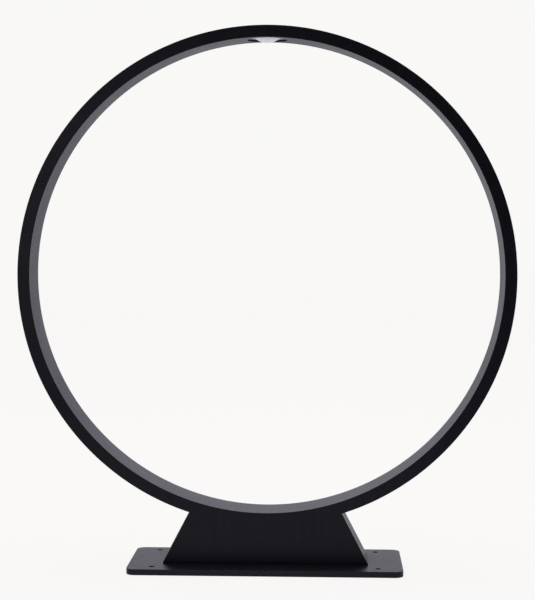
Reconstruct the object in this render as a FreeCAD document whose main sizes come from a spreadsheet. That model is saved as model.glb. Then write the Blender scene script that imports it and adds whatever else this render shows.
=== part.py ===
import FreeCAD, Part
import math
import os
import re
import Sketcher

# Ring path light: a hoop of rolled channel on a tapered foot and a base plate, with a downlight at its top.
# Millimetres, +Z up, origin at the middle of the base plate's underside. The hoop lies in the XZ plane.

Vector = FreeCAD.Vector

TINY = 1e-6  # two heights closer than this are the same
LEAST_CUT = 1e-3  # a cut of less than this volume has missed
ARC_SHARE = 0.45  # how much of the shorter run an arc takes
COUNTERSINK = -45  # taper of a pocket for a flat screw head, in degrees
doc = FreeCAD.newDocument("RingPathLight")

# ---------------------------------------------------------------------------
# Driving sizes. Each can be changed by itself.
# ---------------------------------------------------------------------------
SIZES = {
    # hoop
    "ring_diameter": 500.0,
    "ring_thickness": 12.0,
    "ring_depth": 50.0,
    "wall": 2.0,
    "ring_edge": 0.6,
    "strip_thickness": 2.0,
    "strip_gap": 0.2,
    "strip_screw_count": 8,
    "strip_end_margin": 20.0,
    "bridge_width": 10.0,
    "bridge_thickness": 3.5,
    "cut_margin": 1.0,
    # lamp
    "lamp_hole_diameter": 40.0,
    "lens_overlap": 2.5,
    "lens_gasket_thickness": 0.8,
    "lens_gasket_gap": 0.2,
    "dome_diameter": 28.0,
    "dome_drop": 6.0,
    "dome_wall": 1.5,
    "cavity_edge_drop": 0.2,
    "board_thickness": 1.0,
    "board_tab_width": 9.0,
    "chip_size": 3.0,
    "chip_height": 0.6,
    "chip_circle": 15.0,
    "thermal_pad_thickness": 0.5,
    "thermal_pad_inset": 0.5,
    "clamp_thickness": 1.5,
    "clamp_corner": 5.0,
    "clamp_margin": 1.0,
    "lid_clearance": 0.25,
    "post_diameter": 6.0,
    "post_gap": 1.5,
    # foot
    "foot_width": 207.0,
    "foot_lean": 27.5,
    "foot_rise": 40.0,
    "foot_gasket_thickness": 1.0,
    "foot_gasket_band": 5.0,
    "block_length": 12.0,
    "block_height": 12.0,
    "block_gap": 1.0,
    # base plate
    "plate_length": 276.0,
    "plate_width": 108.0,
    "plate_thickness": 6.0,
    "plate_corner": 9.0,
    "plate_edge": 0.5,
    "fixing_spacing_x": 226.0,
    "fixing_spacing_y": 80.0,
    "fixing_hole": 5.3,
    "blind_hole_floor": 1.5,
    # screws
    "small_thread": 3.0,
    "small_head": 5.6,
    "small_socket": 2.0,
    "small_clearance": 0.4,
    "base_thread": 5.0,
    "base_head": 10.0,
    "base_socket": 3.0,
    "base_clearance": 0.5,
    "base_screw_length": 16.0,
    "head_sink": 0.1,
    "pan_head": 5.6,
    "pan_height": 2.0,
    "pan_slot": 0.8,
    "lamp_screw_length": 4.0,
    # lead and wires
    "lead_diameter": 3.6,
    "lead_offset": 14.0,
    "lead_leaves_at": 42.0,
    "lead_first_run": 15.0,
    "lead_last_run": 20.0,
    "core_run": 4.0,
    "core_free": 7.0,
    "core_diameter": 1.2,
    "wire_diameter": 2.2,
    "wire_row": 15.0,
    "neutral_climb": 20.0,
    "neutral_above_port": 1.0,
    "clip_width": 8.0,
    "clip_wall": 1.5,
    "clip_count": 3,
    # cable gland
    "gland_thread": 16.0,
    "gland_bore": 9.5,
    "gland_flats": 20.0,
    "gland_flange": 5.0,
    "gland_neck": 9.0,
    "gland_seal_diameter": 12.0,
    "gland_seal_bore": 7.5,
    "gland_seal_length": 7.0,
    "gland_nut_flats": 19.0,
    "gland_nut_gap": 0.5,
    "gland_nut_roof": 2.5,
    "gland_nut_clearance": 1.0,
    # driver
    "driver_start": 27.0,
    "driver_width": 36.0,
    "driver_height": 22.0,
    "driver_wall": 1.5,
    "driver_ear": 6.0,
    "driver_gap": 2.0,
    "driver_board_lift": 2.0,
    "driver_board_gap": 0.5,
    "driver_board_thickness": 1.6,
    "driver_leg": 2.5,
    "core_length": 16.0,
    "core_width": 14.0,
    "core_height": 10.0,
    "coil_share": 0.543,
    "coil_lift": 2.0,
    "can_diameter": 8.0,
    "can_height": 11.0,
    "can_spacing": 12.0,
    # terminals and earth
    "pole_pitch": 9.0,
    "terminal_width": 18.0,
    "terminal_height": 14.0,
    "terminal_offset": 4.0,
    "terminal_from_earth": 29.5,
    "insert_lift": 6.0,
    "insert_diameter": 5.5,
    "insert_bore": 2.6,
    "insert_inset": 1.0,
    "terminal_thread": 2.5,
    "terminal_shaft": 3.9,
    "terminal_screw_length": 5.0,
    "terminal_slot": 0.6,
    "terminal_head": 4.6,
    "earth_inset": 10.0,
    "earth_thread": 4.0,
    "earth_head": 7.0,
    "lug_thickness": 0.8,
    "lug_diameter": 9.0,
    "lug_barrel": 5.0,
    "lug_lap": 0.6,
    "thread_end_gap": 0.3,
}

# Sizes worked out from the driving ones, in the sheet's own expression language.
DERIVED = {
    "ring_outer": "ring_diameter / 2",
    "ring_inner": "ring_outer - ring_thickness",
    "hollow_floor": "ring_inner + wall",
    "hollow_half": "ring_depth / 2 - wall",
    "strip_inner": "ring_outer - strip_thickness",
    "bridge_inner": "strip_inner - bridge_thickness",
    "ring_centre": "plate_thickness + foot_rise + ring_outer",
    "lamp_datum": "ring_centre + ring_inner",
    # foot: its lower edge, its sides' slope, and the angle from the bottom where they meet the hoop
    "foot_floor": "plate_thickness + foot_gasket_thickness",
    "foot_half": "foot_width / 2",
    "foot_slope": "tan(foot_lean)",
    "side_width": "wall / cos(foot_lean)",
    "side_top": "ring_centre - sqrt(ring_outer ^ 2 - foot_half ^ 2)",
    "side_offset": "foot_half * cos(foot_lean) - (ring_centre - foot_floor) * sin(foot_lean)",
    "junction_angle": "foot_lean + asin(side_offset / ring_outer) / (1 deg)",
    "station_start": "180 - junction_angle - strip_end_margin / ring_outer * 180 / pi",
    "station_step": "2 * station_start / (strip_screw_count - 1)",
    "block_x": "foot_half - block_height * foot_slope - side_width - block_gap - block_length / 2",
    "block_y": "hollow_half - block_length / 2",
    "opening_half": "block_x - block_length / 2 - block_gap",
    # lamp, measured up from the crown of the hoop's inner face
    "flange_diameter": "lamp_hole_diameter + 2 * lens_overlap",
    "post_x": "(flange_diameter + post_diameter) / 2 + post_gap",
    "clamp_half": "post_x + post_diameter / 2 + clamp_margin",
    "clamp_top": "sqrt(strip_inner ^ 2 - clamp_half ^ 2) - ring_inner - lid_clearance",
    "clamp_floor": "clamp_top - clamp_thickness",
    "board_top": "clamp_floor - thermal_pad_thickness",
    "flange_top": "board_top - board_thickness",
    "flange_floor": "wall + lens_gasket_thickness",
    "lead_radius": "hollow_floor + lead_diameter / 2",
    "lead_top_angle": "asin((clamp_half + core_free) / lead_radius) / (1 deg)",
    "lead_leaves_angle": "180 - asin(lead_leaves_at / lead_radius) / (1 deg)",
    # fittings in the foot
    "gland_top": "plate_thickness + gland_flange + gland_neck",
    "nut_floor": "plate_thickness + gland_flange + gland_nut_gap",
    "driver_end": "opening_half - driver_gap - driver_ear",
    "driver_top": "plate_thickness + driver_height",
    "coil_room": "driver_end - driver_start - 2 * driver_wall - can_diameter",
    "coil_diameter": "coil_share * coil_room",
    "driver_port": "plate_thickness + driver_height / 2",
    "driver_lid": "driver_top - driver_wall",
    "driver_deck": "plate_thickness + driver_wall + driver_board_lift",
    "earth_x": "0 - (opening_half + block_gap - earth_inset)",
    "terminal_x": "earth_x + terminal_from_earth",
    "terminal_face": "terminal_width / 2 - terminal_offset",
    "insert_height": "plate_thickness + insert_lift",
    "fixing_seat": "insert_lift + insert_diameter / 2 + thread_end_gap",
    "blind_depth": "plate_thickness - blind_hole_floor - thread_end_gap",
    "barrel_end": "earth_x + lug_diameter / 2 - lug_lap + lug_barrel",
}

sheet = doc.addObject("Spreadsheet::Sheet", "sizes")
for row, (size_name, size) in enumerate(SIZES.items(), start=1):
    sheet.set(f"A{row}", size_name)
    sheet.set(f"B{row}", str(size))
    sheet.setAlias(f"B{row}", size_name)
doc.recompute()


# ---------------------------------------------------------------------------
# Sketch and feature helpers
# ---------------------------------------------------------------------------
def spelled(expression):
    """The expression with derived names written out and driving names pointed at the sheet."""

    def swap(match):
        word = match.group(0)
        if word in DERIVED:
            return "(" + spelled(DERIVED[word]) + ")"
        return "sizes." + word if word in SIZES else word

    return re.sub(r"[a-z][a-z_0-9]*", swap, expression)


def value(expression):
    result = sheet.evalExpression(spelled(expression))
    return float(getattr(result, "Value", result))


def bind(thing, prop, expression):
    thing.setExpression(prop, spelled(expression))


def new_body(label, base="0", x="0", y="0"):
    """A body whose own origin stands at (x, y, base)."""
    body = doc.addObject("PartDesign::Body", label)
    body.Label = label
    for axis, expression in (("x", x), ("y", y), ("z", base)):
        bind(body, f"Placement.Base.{axis}", expression)
    return body


def origin_item(body, role):
    return next(item for item in body.Origin.OriginFeatures if item.Role == role)


def new_sketch(body, role, lift="0", turn=None):
    """A sketch on one of the body's origin planes, lifted along its normal and turned in its own plane."""
    sketch = body.newObject("Sketcher::SketchObject", body.Label + "_sketch")
    sketch.AttachmentSupport = [(origin_item(body, role), "")]
    sketch.MapMode = "FlatFace"
    if turn:
        sketch.AttachmentOffset = FreeCAD.Placement(Vector(), FreeCAD.Rotation(Vector(0, 0, 1), 1))
        bind(sketch, "AttachmentOffset.Rotation.Angle", turn)
    bind(sketch, "AttachmentOffset.Base.z", lift)
    return sketch


def pin_point(sketch, edge, end, x, y):
    """Holds a point of the sketch at (x, y) from its origin."""
    for kind, axis, expression in (("DistanceX", -2, x), ("DistanceY", -1, y)):
        if expression == "0":
            sketch.addConstraint(Sketcher.Constraint("PointOnObject", edge, end, axis))
        else:
            limit = Sketcher.Constraint(kind, -1, 1, edge, end, value(expression))
            bind(sketch, f"Constraints[{sketch.addConstraint(limit)}]", expression)


def outline(sketch, points, arcs=None):
    """A closed outline through points; arcs maps an edge's number to the centre of its short arc."""
    arcs = arcs or {}
    spots = [Vector(value(x), value(y), 0) for x, y in points]
    edges = []
    for number, start in enumerate(spots):
        end = spots[(number + 1) % len(spots)]
        ends = (1, 2)
        if number in arcs:
            centre = Vector(value(arcs[number][0]), value(arcs[number][1]), 0)
            middle = (start + end) / 2 - centre
            radius = (start - centre).Length
            bend = Part.Arc(start, centre + middle.normalize() * radius, end)
            edge = sketch.addGeometry(bend)
            first = sketch.getPoint(edge, 1)
            if first.distanceToPoint(start) > first.distanceToPoint(end):
                ends = (2, 1)
        else:
            edge = sketch.addGeometry(Part.LineSegment(start, end))
        edges.append((edge, *ends))
    for number, (edge, first, _) in enumerate(edges):
        before, _, last = edges[number - 1]
        sketch.addConstraint(Sketcher.Constraint("Coincident", before, last, edge, first))
        pin_point(sketch, edge, first, *points[number])
    for number, (x, y) in arcs.items():
        edge = edges[number][0]
        chord = spots[(number + 1) % len(spots)] - spots[number]
        kind, axis, expression = ("DistanceX", -2, x) if abs(chord.y) > TINY else ("DistanceY", -1, y)
        if expression == "0":
            sketch.addConstraint(Sketcher.Constraint("PointOnObject", edge, 3, axis))
        else:
            limit = Sketcher.Constraint(kind, -1, 1, edge, 3, value(expression))
            bind(sketch, f"Constraints[{sketch.addConstraint(limit)}]", expression)


def circle(sketch, x, y, diameter):
    centre = Vector(value(x), value(y), 0)
    edge = sketch.addGeometry(Part.Circle(centre, Vector(0, 0, 1), value(diameter) / 2))
    pin_point(sketch, edge, 3, x, y)
    limit = Sketcher.Constraint("Diameter", edge, value(diameter))
    bind(sketch, f"Constraints[{sketch.addConstraint(limit)}]", diameter)


def rectangle(sketch, low_x, low_y, high_x, high_y):
    outline(sketch, [(low_x, low_y), (high_x, low_y), (high_x, high_y), (low_x, high_y)])


def rounded_rectangle(sketch, half_x, half_y, corner):
    """A rectangle about the origin with rounded corners."""
    points = []
    arcs = {}
    for sign_x, sign_y in ((1, -1), (1, 1), (-1, 1), (-1, -1)):
        near_x = f"{sign_x} * ({half_x} - {corner})"
        near_y = f"{sign_y} * ({half_y} - {corner})"
        on_end = (f"{sign_x} * ({half_x})", near_y)
        on_side = (near_x, f"{sign_y} * ({half_y})")
        arcs[len(points)] = (near_x, near_y)
        points += [on_side, on_end] if sign_x * sign_y < 0 else [on_end, on_side]
    outline(sketch, points, arcs)


def hexagon(sketch, flats):
    tip = f"{flats} / sqrt(3)"
    half_tip = f"{flats} / sqrt(12)"
    side = f"{flats} / 2"
    outline(
        sketch,
        [
            (tip, "0"),
            (half_tip, side),
            (f"0 - {half_tip}", side),
            (f"0 - {tip}", "0"),
            (f"0 - {half_tip}", f"0 - {side}"),
            (half_tip, f"0 - {side}"),
        ],
    )


def pad(body, sketch, length, both_ways=False):
    """Material along the sketch's normal, or half each way."""
    feature = body.newObject("PartDesign::Pad", body.Label + "_pad")
    feature.Profile = sketch
    feature.SideType = "Symmetric" if both_ways else "One side"
    bind(feature, "Length", length)
    sketch.Visibility = False
    return feature


def pocket(body, sketch, length=None, both_ways=False, along_normal=True):
    """A cut along the sketch's normal or against it; without a length it goes right through."""
    feature = body.newObject("PartDesign::Pocket", body.Label + "_pocket")
    feature.Profile = sketch
    feature.SideType = "Symmetric" if both_ways else "One side"
    feature.Reversed = along_normal and not both_ways
    if length:
        bind(feature, "Length", length)
    else:
        feature.Type = "ThroughAll"
    return feature


def turned(body, kind, sketch, axis, angle="360", both_ways=False):
    """A Revolution or a Groove of the sketch about one of its own axes."""
    feature = body.newObject("PartDesign::" + kind, body.Label + "_" + kind.lower())
    feature.Profile = sketch
    feature.ReferenceAxis = (sketch, [axis])
    feature.Midplane = both_ways
    bind(feature, "Angle", angle)
    return feature


def around(body, originals, role, count, angle="360"):
    """Copies of features spread about one of the body's origin axes."""
    feature = body.newObject("PartDesign::PolarPattern", body.Label + "_pattern")
    feature.Originals = originals
    feature.Axis = (origin_item(body, role), [""])
    bind(feature, "Angle", angle)
    bind(feature, "Occurrences", count)
    body.Tip = feature
    return feature


def compound(label, members):
    """Separate solids kept together as one node."""
    group = doc.addObject("Part::Compound", label)
    group.Label = label
    group.Links = members
    return group


def mirrored_group(label, source, *normals):
    """The source and its mirror images in the planes through the origin with these normals."""
    members = [source]
    for normal in normals:
        for member in list(members):
            image = doc.addObject("Part::Mirroring", label + "_image")
            image.Source = member
            image.Normal = normal
            members.append(image)
    return compound(label, members)


def countersunk_screw(body, face, length, thread, head, socket, upward=True):
    """A countersunk socket screw on the body's Z axis, its flat face at the height given."""
    away = "-" if upward else "+"
    cone = f"({head} - {thread}) / 2"
    profile = new_sketch(body, "XZ_Plane")
    outline(
        profile,
        [
            ("0", f"{face} {away} {length}"),
            (f"{thread} / 2", f"{face} {away} {length}"),
            (f"{thread} / 2", f"{face} {away} {cone}"),
            (f"{head} / 2", face),
            ("0", face),
        ],
    )
    shank = turned(body, "Revolution", profile, "V_Axis")
    recess = new_sketch(body, "XY_Plane", face)
    hexagon(recess, socket)
    return [shank, pocket(body, recess, cone, along_normal=not upward)]


def pan_screw(body, seat, length, thread, head):
    """A slotted pan-head screw on the body's Z axis, its head seated at the height given."""
    profile = new_sketch(body, "XZ_Plane")
    outline(
        profile,
        [
            ("0", f"{seat} - {length}"),
            (f"{thread} / 2", f"{seat} - {length}"),
            (f"{thread} / 2", seat),
            (f"{head} / 2", seat),
            (f"{head} / 2", f"{seat} + pan_height"),
            ("0", f"{seat} + pan_height"),
        ],
    )
    shank = turned(body, "Revolution", profile, "V_Axis")
    slot = new_sketch(body, "XY_Plane", f"{seat} + pan_height")
    rectangle(slot, f"0 - {head}", "0 - pan_slot / 2", head, "pan_slot / 2")
    return [shank, pocket(body, slot, "pan_height / 2", along_normal=False)]


# ---------------------------------------------------------------------------
# Hoop
# ---------------------------------------------------------------------------
def make_ring_channel():
    """U-channel rolled to a full circle, web inwards, its flanges the front and rear faces."""
    body = new_body("ring_channel", "ring_centre")
    profile = new_sketch(body, "YZ_Plane")
    half = "ring_depth / 2"
    inset = "(ring_depth / 2 - ring_edge)"
    outline(
        profile,
        [
            (f"0 - {inset}", "ring_inner"),
            (inset, "ring_inner"),
            (half, "ring_inner + ring_edge"),
            (half, "ring_outer"),
            ("hollow_half", "ring_outer"),
            ("hollow_half", "hollow_floor"),
            ("0 - hollow_half", "hollow_floor"),
            ("0 - hollow_half", "ring_outer"),
            (f"0 - {half}", "ring_outer"),
            (f"0 - {half}", "ring_inner + ring_edge"),
        ],
        arcs={1: (inset, "ring_inner + ring_edge"), 9: (f"0 - {inset}", "ring_inner + ring_edge")},
    )
    turned(body, "Revolution", profile, "H_Axis")
    opening = new_sketch(body, "XY_Plane")
    circle(opening, "0", "0", "lamp_hole_diameter")
    pocket(body, opening)
    return body


def foot_sides(sketch, grow):
    """The foot's outline with its leaning sides moved out by a gap, up to where both lie inside the hoop."""
    bottom = "(foot_half + (foot_floor - plate_thickness) * foot_slope)"
    out = f"({grow}) / cos(foot_lean)"
    low = "plate_thickness - ring_centre"
    top = "side_top - ring_centre"
    low_x = f"({bottom} + {out})"
    top_x = f"({bottom} + {out} - (side_top - plate_thickness) * foot_slope)"
    outline(sketch, [(f"0 - {low_x}", low), (low_x, low), (top_x, top), (f"0 - {top_x}", top)])


def make_ring_cover_strip():
    """Rolled strip that closes the channel from one side of the foot round to the other."""
    body = new_body("ring_cover_strip", "ring_centre")
    profile = new_sketch(body, "YZ_Plane")
    rectangle(profile, "strip_gap - hollow_half", "strip_inner", "hollow_half - strip_gap", "ring_outer")
    turned(body, "Revolution", profile, "H_Axis")
    foot = new_sketch(body, "XZ_Plane")
    foot_sides(foot, "strip_gap")
    pocket(body, foot, both_ways=True)
    seat = new_sketch(body, "XZ_Plane", turn="station_start")
    hole = "(small_thread + small_clearance) / 2"
    outline(
        seat,
        [
            ("0", "strip_inner - cut_margin"),
            (hole, "strip_inner - cut_margin"),
            (hole, f"ring_outer - (small_head / 2 - {hole}) - head_sink"),
            ("small_head / 2", "ring_outer - head_sink"),
            ("small_head / 2", "ring_outer + cut_margin"),
            ("0", "ring_outer + cut_margin"),
        ],
    )
    countersink = turned(body, "Groove", seat, "V_Axis")
    around(body, [countersink], "Y_Axis", "strip_screw_count", "2 * station_start")
    return body


def turn_to_first_station(body, angle):
    """Turns a hoop body about its own Y axis so that what it has at the top starts the row of stations."""
    centre = Vector(0, 0, value("ring_centre"))
    body.Placement = FreeCAD.Placement(centre, FreeCAD.Rotation(Vector(0, -1, 0), 90))
    bind(body, "Placement.Base.z", "ring_centre")
    bind(body, "Placement.Rotation.Angle", angle)


def make_strip_bridges():
    """Tapped bars welded across the hollow under the strip, one for each of its screws."""
    body = new_body("strip_bridges", "ring_centre")
    profile = new_sketch(body, "YZ_Plane")
    rectangle(profile, "0 - hollow_half", "bridge_inner", "hollow_half", "strip_inner")
    angle = "bridge_width / strip_inner * 180 / pi"
    bar = turned(body, "Revolution", profile, "H_Axis", angle, both_ways=True)
    thread = new_sketch(body, "XY_Plane")
    circle(thread, "0", "0", "small_thread")
    hole = pocket(body, thread)
    around(body, [bar, hole], "Y_Axis", "strip_screw_count", "2 * station_start")
    turn_to_first_station(body, "station_start")
    return body


def make_strip_screws():
    body = new_body("strip_screws", "ring_centre")
    screw = countersunk_screw(
        body,
        "(ring_outer - head_sink)",
        "(strip_thickness - head_sink + bridge_thickness)",
        "small_thread",
        "small_head",
        "small_socket",
    )
    around(body, screw, "Y_Axis", "strip_screw_count", "2 * station_start")
    turn_to_first_station(body, "station_start")
    return body


# ---------------------------------------------------------------------------
# Lamp. Its bodies stand on the crown of the hoop's inner face.
# ---------------------------------------------------------------------------
def trim_below(body, radius):
    """Cuts away what lies inside a cylinder about the hoop's axis."""
    curve = new_sketch(body, "XZ_Plane")
    circle(curve, "0", "0 - ring_inner", f"2 * ({radius})")
    pocket(body, curve, both_ways=True)


def make_lens_gasket():
    """Silicone washer that follows the curve of the web around the lamp hole."""
    body = new_body("lens_gasket", "lamp_datum")
    washer = new_sketch(body, "XY_Plane")
    circle(washer, "0", "0", "flange_diameter")
    circle(washer, "0", "0", "lamp_hole_diameter + 2 * lens_gasket_gap")
    pad(body, washer, "flange_floor")
    trim_below(body, "hollow_floor")
    roof = new_sketch(body, "XZ_Plane")
    circle(roof, "0", "0 - ring_inner", "2 * (ring_inner + flange_floor)")
    circle(roof, "0", "0 - ring_inner", "2 * ring_outer")
    pocket(body, roof, both_ways=True)
    return body


def make_lamp_lens():
    """Frosted lens: a hollow dome in the lamp hole on a flange that is curved below to seat on the web."""
    body = new_body("lamp_lens", "lamp_datum")
    disc = new_sketch(body, "XY_Plane")
    circle(disc, "0", "0", "flange_diameter")
    pad(body, disc, "flange_top")
    trim_below(body, "ring_inner + flange_floor")
    radius = "((dome_diameter / 2) ^ 2 + dome_drop ^ 2) / (2 * dome_drop)"
    centre = f"flange_floor - dome_drop + {radius}"
    dome = new_sketch(body, "XZ_Plane")
    outline(
        dome,
        [
            ("0", "flange_floor - dome_drop"),
            ("dome_diameter / 2", "flange_floor"),
            ("dome_diameter / 2", "flange_top"),
            ("0", "flange_top"),
        ],
        arcs={0: ("0", centre)},
    )
    turned(body, "Revolution", dome, "V_Axis")
    cavity = new_sketch(body, "XZ_Plane")
    outline(
        cavity,
        [
            ("0", "flange_floor - dome_drop + dome_wall"),
            ("dome_diameter / 2 - dome_wall", "flange_floor - cavity_edge_drop"),
            ("dome_diameter / 2 - dome_wall", "flange_top + cut_margin"),
            ("0", "flange_top + cut_margin"),
        ],
        arcs={0: ("0", centre)},
    )
    turned(body, "Groove", cavity, "V_Axis")
    return body


def make_led_board():
    """Metal-core board: a disc on the lens flange with a tab that carries the solder pads."""
    body = new_body("led_board", "lamp_datum")
    shape = new_sketch(body, "XY_Plane", "flange_top")
    circle(shape, "0", "0", "lamp_hole_diameter")
    pad(body, shape, "board_thickness")
    tab = new_sketch(body, "XY_Plane", "flange_top")
    rectangle(
        tab,
        "0 - clamp_half",
        "0 - lead_offset - board_tab_width / 2",
        "0",
        "board_tab_width / 2 - lead_offset",
    )
    pad(body, tab, "board_thickness")
    return body


def make_led_chips():
    """One light-emitting package in the middle of the board and six round it, facing down into the lens."""
    body = new_body("led_chips", "lamp_datum")
    middle = new_sketch(body, "XY_Plane", "flange_top - chip_height")
    rectangle(middle, "0 - chip_size / 2", "0 - chip_size / 2", "chip_size / 2", "chip_size / 2")
    pad(body, middle, "chip_height")
    outer = new_sketch(body, "XY_Plane", "flange_top - chip_height")
    rectangle(
        outer,
        "(chip_circle - chip_size) / 2",
        "0 - chip_size / 2",
        "(chip_circle + chip_size) / 2",
        "chip_size / 2",
    )
    around(body, [pad(body, outer, "chip_height")], "Z_Axis", "6")
    return body


def make_thermal_pad():
    body = new_body("thermal_pad", "lamp_datum")
    disc = new_sketch(body, "XY_Plane", "board_top")
    circle(disc, "0", "0", "lamp_hole_diameter - 2 * thermal_pad_inset")
    pad(body, disc, "thermal_pad_thickness")
    return body


def make_lamp_clamp_plate():
    """Plate that presses board and lens onto the web; its screws sit flush under the cover strip."""
    body = new_body("lamp_clamp_plate", "lamp_datum")
    shape = new_sketch(body, "XY_Plane", "clamp_floor")
    rounded_rectangle(shape, "clamp_half", "lamp_hole_diameter / 2", "clamp_corner")
    pad(body, shape, "clamp_thickness")
    for side in ("1", "-1"):
        cone = new_sketch(body, "XY_Plane", "clamp_top")
        circle(cone, f"{side} * post_x", "0", "small_head")
        sink = pocket(body, cone, "(small_head - small_thread) / 2", along_normal=False)
        sink.TaperAngle = COUNTERSINK
        hole = new_sketch(body, "XY_Plane", "clamp_floor")
        circle(hole, f"{side} * post_x", "0", "small_thread")
        pocket(body, hole)
    return body


def make_lamp_posts():
    """Tapped posts welded to the web, one at each end of the clamp plate."""
    body = new_body("lamp_post", "lamp_datum", x="post_x")
    round_bar = new_sketch(body, "XY_Plane")
    circle(round_bar, "0", "0", "post_diameter")
    pad(body, round_bar, "clamp_floor")
    curve = new_sketch(body, "XZ_Plane")
    circle(curve, "0 - post_x", "0 - ring_inner", "2 * hollow_floor")
    pocket(body, curve, both_ways=True)
    thread = new_sketch(body, "XY_Plane", "clamp_floor")
    circle(thread, "0", "0", "small_thread")
    pocket(body, thread, "lamp_screw_length", along_normal=False)
    return mirrored_group("lamp_posts", body, Vector(1, 0, 0))


def make_lamp_screws():
    body = new_body("lamp_screw", "lamp_datum", x="post_x")
    length = "(clamp_thickness + lamp_screw_length)"
    countersunk_screw(body, "clamp_top", length, "small_thread", "small_head", "small_socket")
    return mirrored_group("lamp_screws", body, Vector(1, 0, 0))


# ---------------------------------------------------------------------------
# Lead, cores and clips. Each tube is straight runs joined by tangent arcs.
# ---------------------------------------------------------------------------
def tangent_edges(points):
    """Straight runs through the points with an arc at each turn, as large as the shorter run allows."""
    edges = []
    start = points[0]
    for before, corner, after in zip(points, points[1:], points[2:]):
        into = (corner - before).normalize()
        out = (after - corner).normalize()
        reach = ARC_SHARE * min((corner - before).Length, (after - corner).Length)
        begin = corner - into * reach
        end = corner + out * reach
        radius = reach / math.tan(into.getAngle(out) / 2)
        inward = (out - into).normalize()
        centre = begin + (inward - into * inward.dot(into)).normalize() * radius
        edges.append(Part.LineSegment(start, begin).toShape())
        edges.append(Part.Arc(begin, centre - inward * radius, end).toShape())
        print(f"  turn radius {radius:.1f} mm")
        start = end
    edges.append(Part.LineSegment(start, points[-1]).toShape())
    return edges


def make_tube(label, edges, diameter):
    """A round solid along a path of joined edges."""
    print(label)
    first = edges[0]
    direction = first.tangentAt(first.FirstParameter)
    section = Part.Wire(Part.makeCircle(diameter / 2, first.valueAt(first.FirstParameter), direction))
    shape = Part.Wire(edges).makePipeShell([section], True, False)
    length = sum(edge.Length for edge in edges)
    print(f"  length {length:.1f} mm, volume over section times length", end=" ")
    print(f"{shape.Volume / (Part.Face(section).Area * length):.4f}")
    tube = doc.addObject("Part::Feature", label)
    tube.Label = label
    tube.Shape = shape
    return tube


def on_lead(angle):
    """The point of the lead's line at an angle in degrees round the hoop, from the top towards -X."""
    radial = FreeCAD.Rotation(Vector(0, -1, 0), angle).multVec(Vector(0, 0, value("lead_radius")))
    return radial + Vector(0, -value("lead_offset"), value("ring_centre"))


def make_lamp_lead():
    """Jacketed lead: from beside the lamp down the left of the hollow, then across the foot to the driver."""
    top = value("lead_top_angle")
    bottom = value("lead_leaves_angle")
    leaves = on_lead(bottom)
    heading = FreeCAD.Rotation(Vector(0, -1, 0), bottom).multVec(Vector(-1, 0, 0))
    port = Vector(value("driver_start"), leaves.y, value("driver_port"))
    round_hoop = Part.Arc(on_lead(top), on_lead((top + bottom) / 2), leaves).toShape()
    first_turn = leaves + heading * value("lead_first_run")
    last_turn = port - Vector(value("lead_last_run"), 0, 0)
    drop = tangent_edges([leaves, first_turn, last_turn, port])
    return make_tube("lamp_lead", [round_hoop, *drop], value("lead_diameter"))


def make_lamp_cores():
    """The lead's two cores, from the end of its jacket to the underside of the board's tab."""
    top = value("lead_top_angle")
    start = on_lead(top)
    heading = FreeCAD.Rotation(Vector(0, -1, 0), top).multVec(Vector(1, 0, 0))
    run = value("core_run")
    board_floor = value("lamp_datum + flange_top - core_diameter / 2")
    solder = Vector(start.x + value("core_free") + run / 2, start.y, board_floor)
    cores = []
    for side in (-1, 1):
        shift = Vector(0, side * value("lead_diameter") / 4, 0)
        line = [start, start + heading * run, solder, solder + Vector(run, 0, 0)]
        edges = tangent_edges([spot + shift for spot in line])
        cores.append(make_tube("lamp_core", edges, value("core_diameter")))
    return compound("lamp_cores", cores)


def make_lead_clips():
    """Saddles stuck to the web that hold the lead between the bridges."""
    body = new_body("lead_clips", "ring_centre")
    profile = new_sketch(body, "YZ_Plane")
    outer = "(lead_diameter / 2 + clip_wall)"
    foot = "(lead_diameter / 2 + 2 * clip_wall)"
    crown = f"lead_radius + {outer}"
    outline(
        profile,
        [
            (f"0 - lead_offset - {foot}", "hollow_floor"),
            (f"{foot} - lead_offset", "hollow_floor"),
            (f"{foot} - lead_offset", "hollow_floor + clip_wall / 2"),
            (f"{outer} - lead_offset", "hollow_floor + clip_wall"),
            (f"{outer} - lead_offset", "lead_radius"),
            ("0 - lead_offset", crown),
            (f"0 - lead_offset - {outer}", "lead_radius"),
            (f"0 - lead_offset - {outer}", "hollow_floor + clip_wall"),
            (f"0 - lead_offset - {foot}", "hollow_floor + clip_wall / 2"),
        ],
        arcs={4: ("0 - lead_offset", "lead_radius"), 5: ("0 - lead_offset", "lead_radius")},
    )
    angle = "clip_width / lead_radius * 180 / pi"
    saddle = turned(body, "Revolution", profile, "H_Axis", angle, both_ways=True)
    way = new_sketch(body, "YZ_Plane")
    side = "lead_diameter / 2"
    outline(
        way,
        [
            (f"0 - lead_offset - {side}", "hollow_floor - cut_margin"),
            (f"{side} - lead_offset", "hollow_floor - cut_margin"),
            (f"{side} - lead_offset", "lead_radius"),
            ("0 - lead_offset", f"lead_radius + {side}"),
            (f"0 - lead_offset - {side}", "lead_radius"),
        ],
        arcs={2: ("0 - lead_offset", "lead_radius"), 3: ("0 - lead_offset", "lead_radius")},
    )
    groove = turned(body, "Groove", way, "H_Axis", f"2 * {angle}", both_ways=True)
    around(body, [saddle, groove], "Y_Axis", "clip_count", "station_step * (clip_count - 1)")
    turn_to_first_station(body, "station_start - station_step / 2")
    return body


# ---------------------------------------------------------------------------
# Foot. Flat sheet, cut to the hoop's outer circle and welded flush with its faces.
# ---------------------------------------------------------------------------
def cut_to_hoop(body, radius, height):
    """Cuts a body that stands at a height back to a cylinder about the hoop's axis."""
    curve = new_sketch(body, "XZ_Plane")
    circle(curve, "0", f"ring_centre - {height}", f"2 * ({radius})")
    pocket(body, curve, both_ways=True)


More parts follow.
